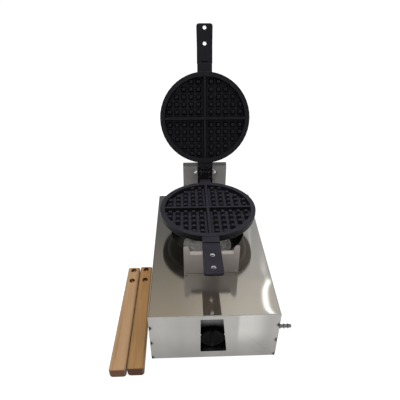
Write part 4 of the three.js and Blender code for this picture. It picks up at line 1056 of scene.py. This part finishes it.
def ribs(angle):
    """Fine grooves round the knob: 1 less a small share times a cosine's cube."""
    return 1.0 - RIB_SHARE * (0.5 + 0.5 * np.cos(KNOB_RIBS * angle)) ** 3


def grip_bar(half_width, half_length, near, far, centre):
    """A bar across the knob: a rounded rectangle |x/a|^5 + |z/b|^5 = 1 whose size eases in
    towards its front by a quarter circle."""
    angle = np.linspace(0.0, 2 * np.pi, KNOB_SIDES, endpoint=False)
    rim = (np.abs(np.cos(angle)) ** 5 + np.abs(np.sin(angle)) ** 5) ** -0.2
    ease = np.linspace(0.0, np.pi / 2, 7)
    eased = 1 - GRIP_EASE / half_width * (1 - np.sin(ease))
    inset = np.concatenate(([0.0], eased, [1.0, 0.0]))
    depth = np.concatenate(([near], near + GRIP_EASE * (1 - np.cos(ease)), [far, far]))
    wide = inset[:, None] * rim * np.sin(angle) * half_width
    tall = inset[:, None] * rim * np.cos(angle) * half_length
    return along_axis(tall, wide, np.broadcast_to(depth[:, None], wide.shape), "y", centre)


add_piece("gas_knob_moulded", [
    turned(body, "y", knob_centre, KNOB_SIDES, ribs),
    grip_bar(GRIP_HALF_WIDTH, GRIP_SHARE * knob_radius, front, back - GRIP_ROOT, knob_centre),
], plastic, "gas_knob", ["gas_knob"], smooth=KNOB_EDGE)

# Gas inlet: a steel pipe from the tap to a chromed hose nozzle, whose shoulder and locknut clamp
# the side wall between them. The three barbs hold the rubber hose.
PIPE_BORE = 0.0022
PIPE_EASE = 0.0003
LOCKNUT_BORE = 0.0063
BARBS = 3
NOZZLE_COLOUR = (0.30, 0.30, 0.295)
NOZZLE_ROUGHNESS = (0.2, 0.32)
NOZZLE_BORE = 0.0024
NOZZLE_TAIL = (0.0038, 0.005)  # radius of its socket, depth
NOZZLE_THREAD = 0.006
FLANGE_LENGTH = 0.0055
FLANGE_GAP = 0.0003
NOZZLE_LEAD = 0.0033  # plain end past the last barb
BARB_RADII = (0.0037, 0.005)
BARB_SHARES = (1 / 3, 0.42, 0.52)  # of the pitch: foot, start and end of the crest
low, high, middle = span("inlet_pipe")
inlet_centre = (0.0, middle[1], middle[2])
pipe_radius = (high[2] - low[2]) / 2
add_piece("inlet_pipe_drawn", [turned_ring([
    (PIPE_BORE, low[0]), (pipe_radius, low[0]), (pipe_radius, high[0]), (PIPE_BORE, high[0]),
], "x", inlet_centre, PIPE_EASE)], zinc, "casing", ["inlet_pipe"])
add_nut("nozzle_locknut", LOCKNUT_BORE, "x", "casing", inlet_centre)
low, high, middle = span("hose_nozzle")
tail, tip = low[0], high[0]
wall = span("top_cover")[1][0]
flange_radius = (high[2] - low[2]) / 2
shoulder = wall + FLANGE_GAP
barb_start = shoulder + FLANGE_LENGTH
barb_pitch = (tip - NOZZLE_LEAD - barb_start) / BARBS
root, crest = BARB_RADII
socket, socket_depth = NOZZLE_TAIL
profile = [
    (NOZZLE_BORE, tail + socket_depth), (socket, tail + socket_depth), (socket, tail),
    (NOZZLE_THREAD, tail), (NOZZLE_THREAD, shoulder), (flange_radius, shoulder),
    (flange_radius, barb_start), (root, barb_start),
]
for i in range(BARBS):
    start = barb_start + i * barb_pitch
    foot, rise, fall = (start + barb_pitch * share for share in BARB_SHARES)
    profile += [(root, foot), (crest, rise), (crest, fall), (root, start + barb_pitch)]
profile += [(root, tip), (NOZZLE_BORE, tip)]
nozzle_steel = zinc_steel("plated nozzle steel", NOZZLE_COLOUR, NOZZLE_ROUGHNESS)
add_piece("hose_nozzle_turned", [turned_ring(profile, "x", inlet_centre, RING_EASE)],
          nozzle_steel, "casing", ["hose_nozzle"])

# Loose grips: two bars of oiled beech, planed square with eased edges, lying on the worktop.
# Each has two counterbored holes with a brass bolt and a nut, which hold it to an iron's bar.
# One is pinker and the other more golden, and end grain is darker.
GRIP_BEVEL = 0.0008
BEECH = {
    "left": ((0.325, 0.205, 0.112), (0.25, 0.15, 0.077), (0.25, 0.108, 0.057)),
    "right": ((0.262, 0.148, 0.062), (0.20, 0.108, 0.042), (0.121, 0.042, 0.016)),
}
WOOD_SPECULAR = 0.15
WOOD_ROUGHNESS = (0.42, 0.58)
GROWTH_RINGS = (160.0, 5.0, 110.0)  # cycles a metre
RINGS_TURN = (0.0, 0.0, 0.02)
PORES = (1500.0, 60.0, 1500.0)
PORE_DEPTH = 0.00004
PITTED = (0.66, 0.74, 0.0, 0.4)  # from and to which pore noise, how dark at each
END_GRAIN = (0.6, 0.9)  # how far a face turns towards the grain
BOLT_COLOUR = (0.66, 0.45, 0.25)
BOLT_HEAD_HEIGHT = 0.0042
BOLT_SHANK = 0.0036
BOLT_OVERLAP = 0.0005  # of the shank, inside the head
BOLT_EASE = 0.0006
SOCKET_SHARE = 0.52
SOCKET_SLOPE = 0.05
BOLT_NUT_BORE = 0.0039


def beech(name, light, dark, end):
    """Straight-grained wood: growth rings stretched along the bar, short dark pores, and a
    darker tone where a face cuts across the grain."""
    material, tree, surface = new_material(name)
    set_sockets(surface, Specular_IOR_Level=WOOD_SPECULAR)
    rings = noise(tree, object_place(tree, GROWTH_RINGS, RINGS_TURN), detail=4.0)
    late = tuple(0.85 * c for c in light)
    wood = ramp(tree, rings, [(0.32, dark), (0.5, light), (0.62, late), (0.8, dark)])
    pores = noise(tree, object_place(tree, PORES), detail=1.0)
    pitted = blend(tree, smooth_step(tree, pores, *PITTED), wood, (*dark, 1.0))
    normal = node(tree, "ShaderNodeNewGeometry").outputs["Normal"]
    facing = maths(tree, "ABSOLUTE", coordinate(tree, normal, "Y"))
    across = smooth_step(tree, facing, *END_GRAIN)
    link(tree, blend(tree, across, pitted, (*end, 1.0)), surface, "Base Color")
    roughen(tree, surface, rings, *WOOD_ROUGHNESS)
    raise_surface(tree, surface, pores, -PORE_DEPTH)
    return material


def hexagon_socket(x, y):
    """1 inside a hexagonal socket, falling to 0 over a short slope."""
    far = np.hypot(x, y)
    return np.clip((SOCKET_SHARE * hexagon(np.arctan2(y, x)) - far) / SOCKET_SLOPE, 0, 1)


bolt_brass = plain_brass("tarnished brass bolts", BOLT_COLOUR)
for hand, tones in BEECH.items():
    grip = hand + "_grip"
    dress(grip, beech("oiled beech " + hand, *tones), GRIP_BEVEL)
    for number in ("1", "2"):
        name = grip + "_bolt_" + number
        low, high, middle = span(name)
        head_radius = (high[0] - low[0]) / 2
        seat = high[2] - BOLT_HEAD_HEIGHT
        shank_end = seat + BOLT_OVERLAP
        shank = rounded([(0.0, low[2]), (BOLT_SHANK, low[2]), (BOLT_SHANK, shank_end),
                         (0.0, shank_end)], BOLT_EASE)
        add_piece(name + "_turned", [
            turned(shank, "z", (middle[0], middle[1], 0.0)),
            screw_head(head_radius, BOLT_HEAD_HEIGHT, "z", (middle[0], middle[1], seat), 1.0,
                       hexagon_socket),
        ], bolt_brass, grip, [name], smooth=FLAT_EDGE)
        add_nut(grip + "_nut_" + number, BOLT_NUT_BORE, "z", grip)
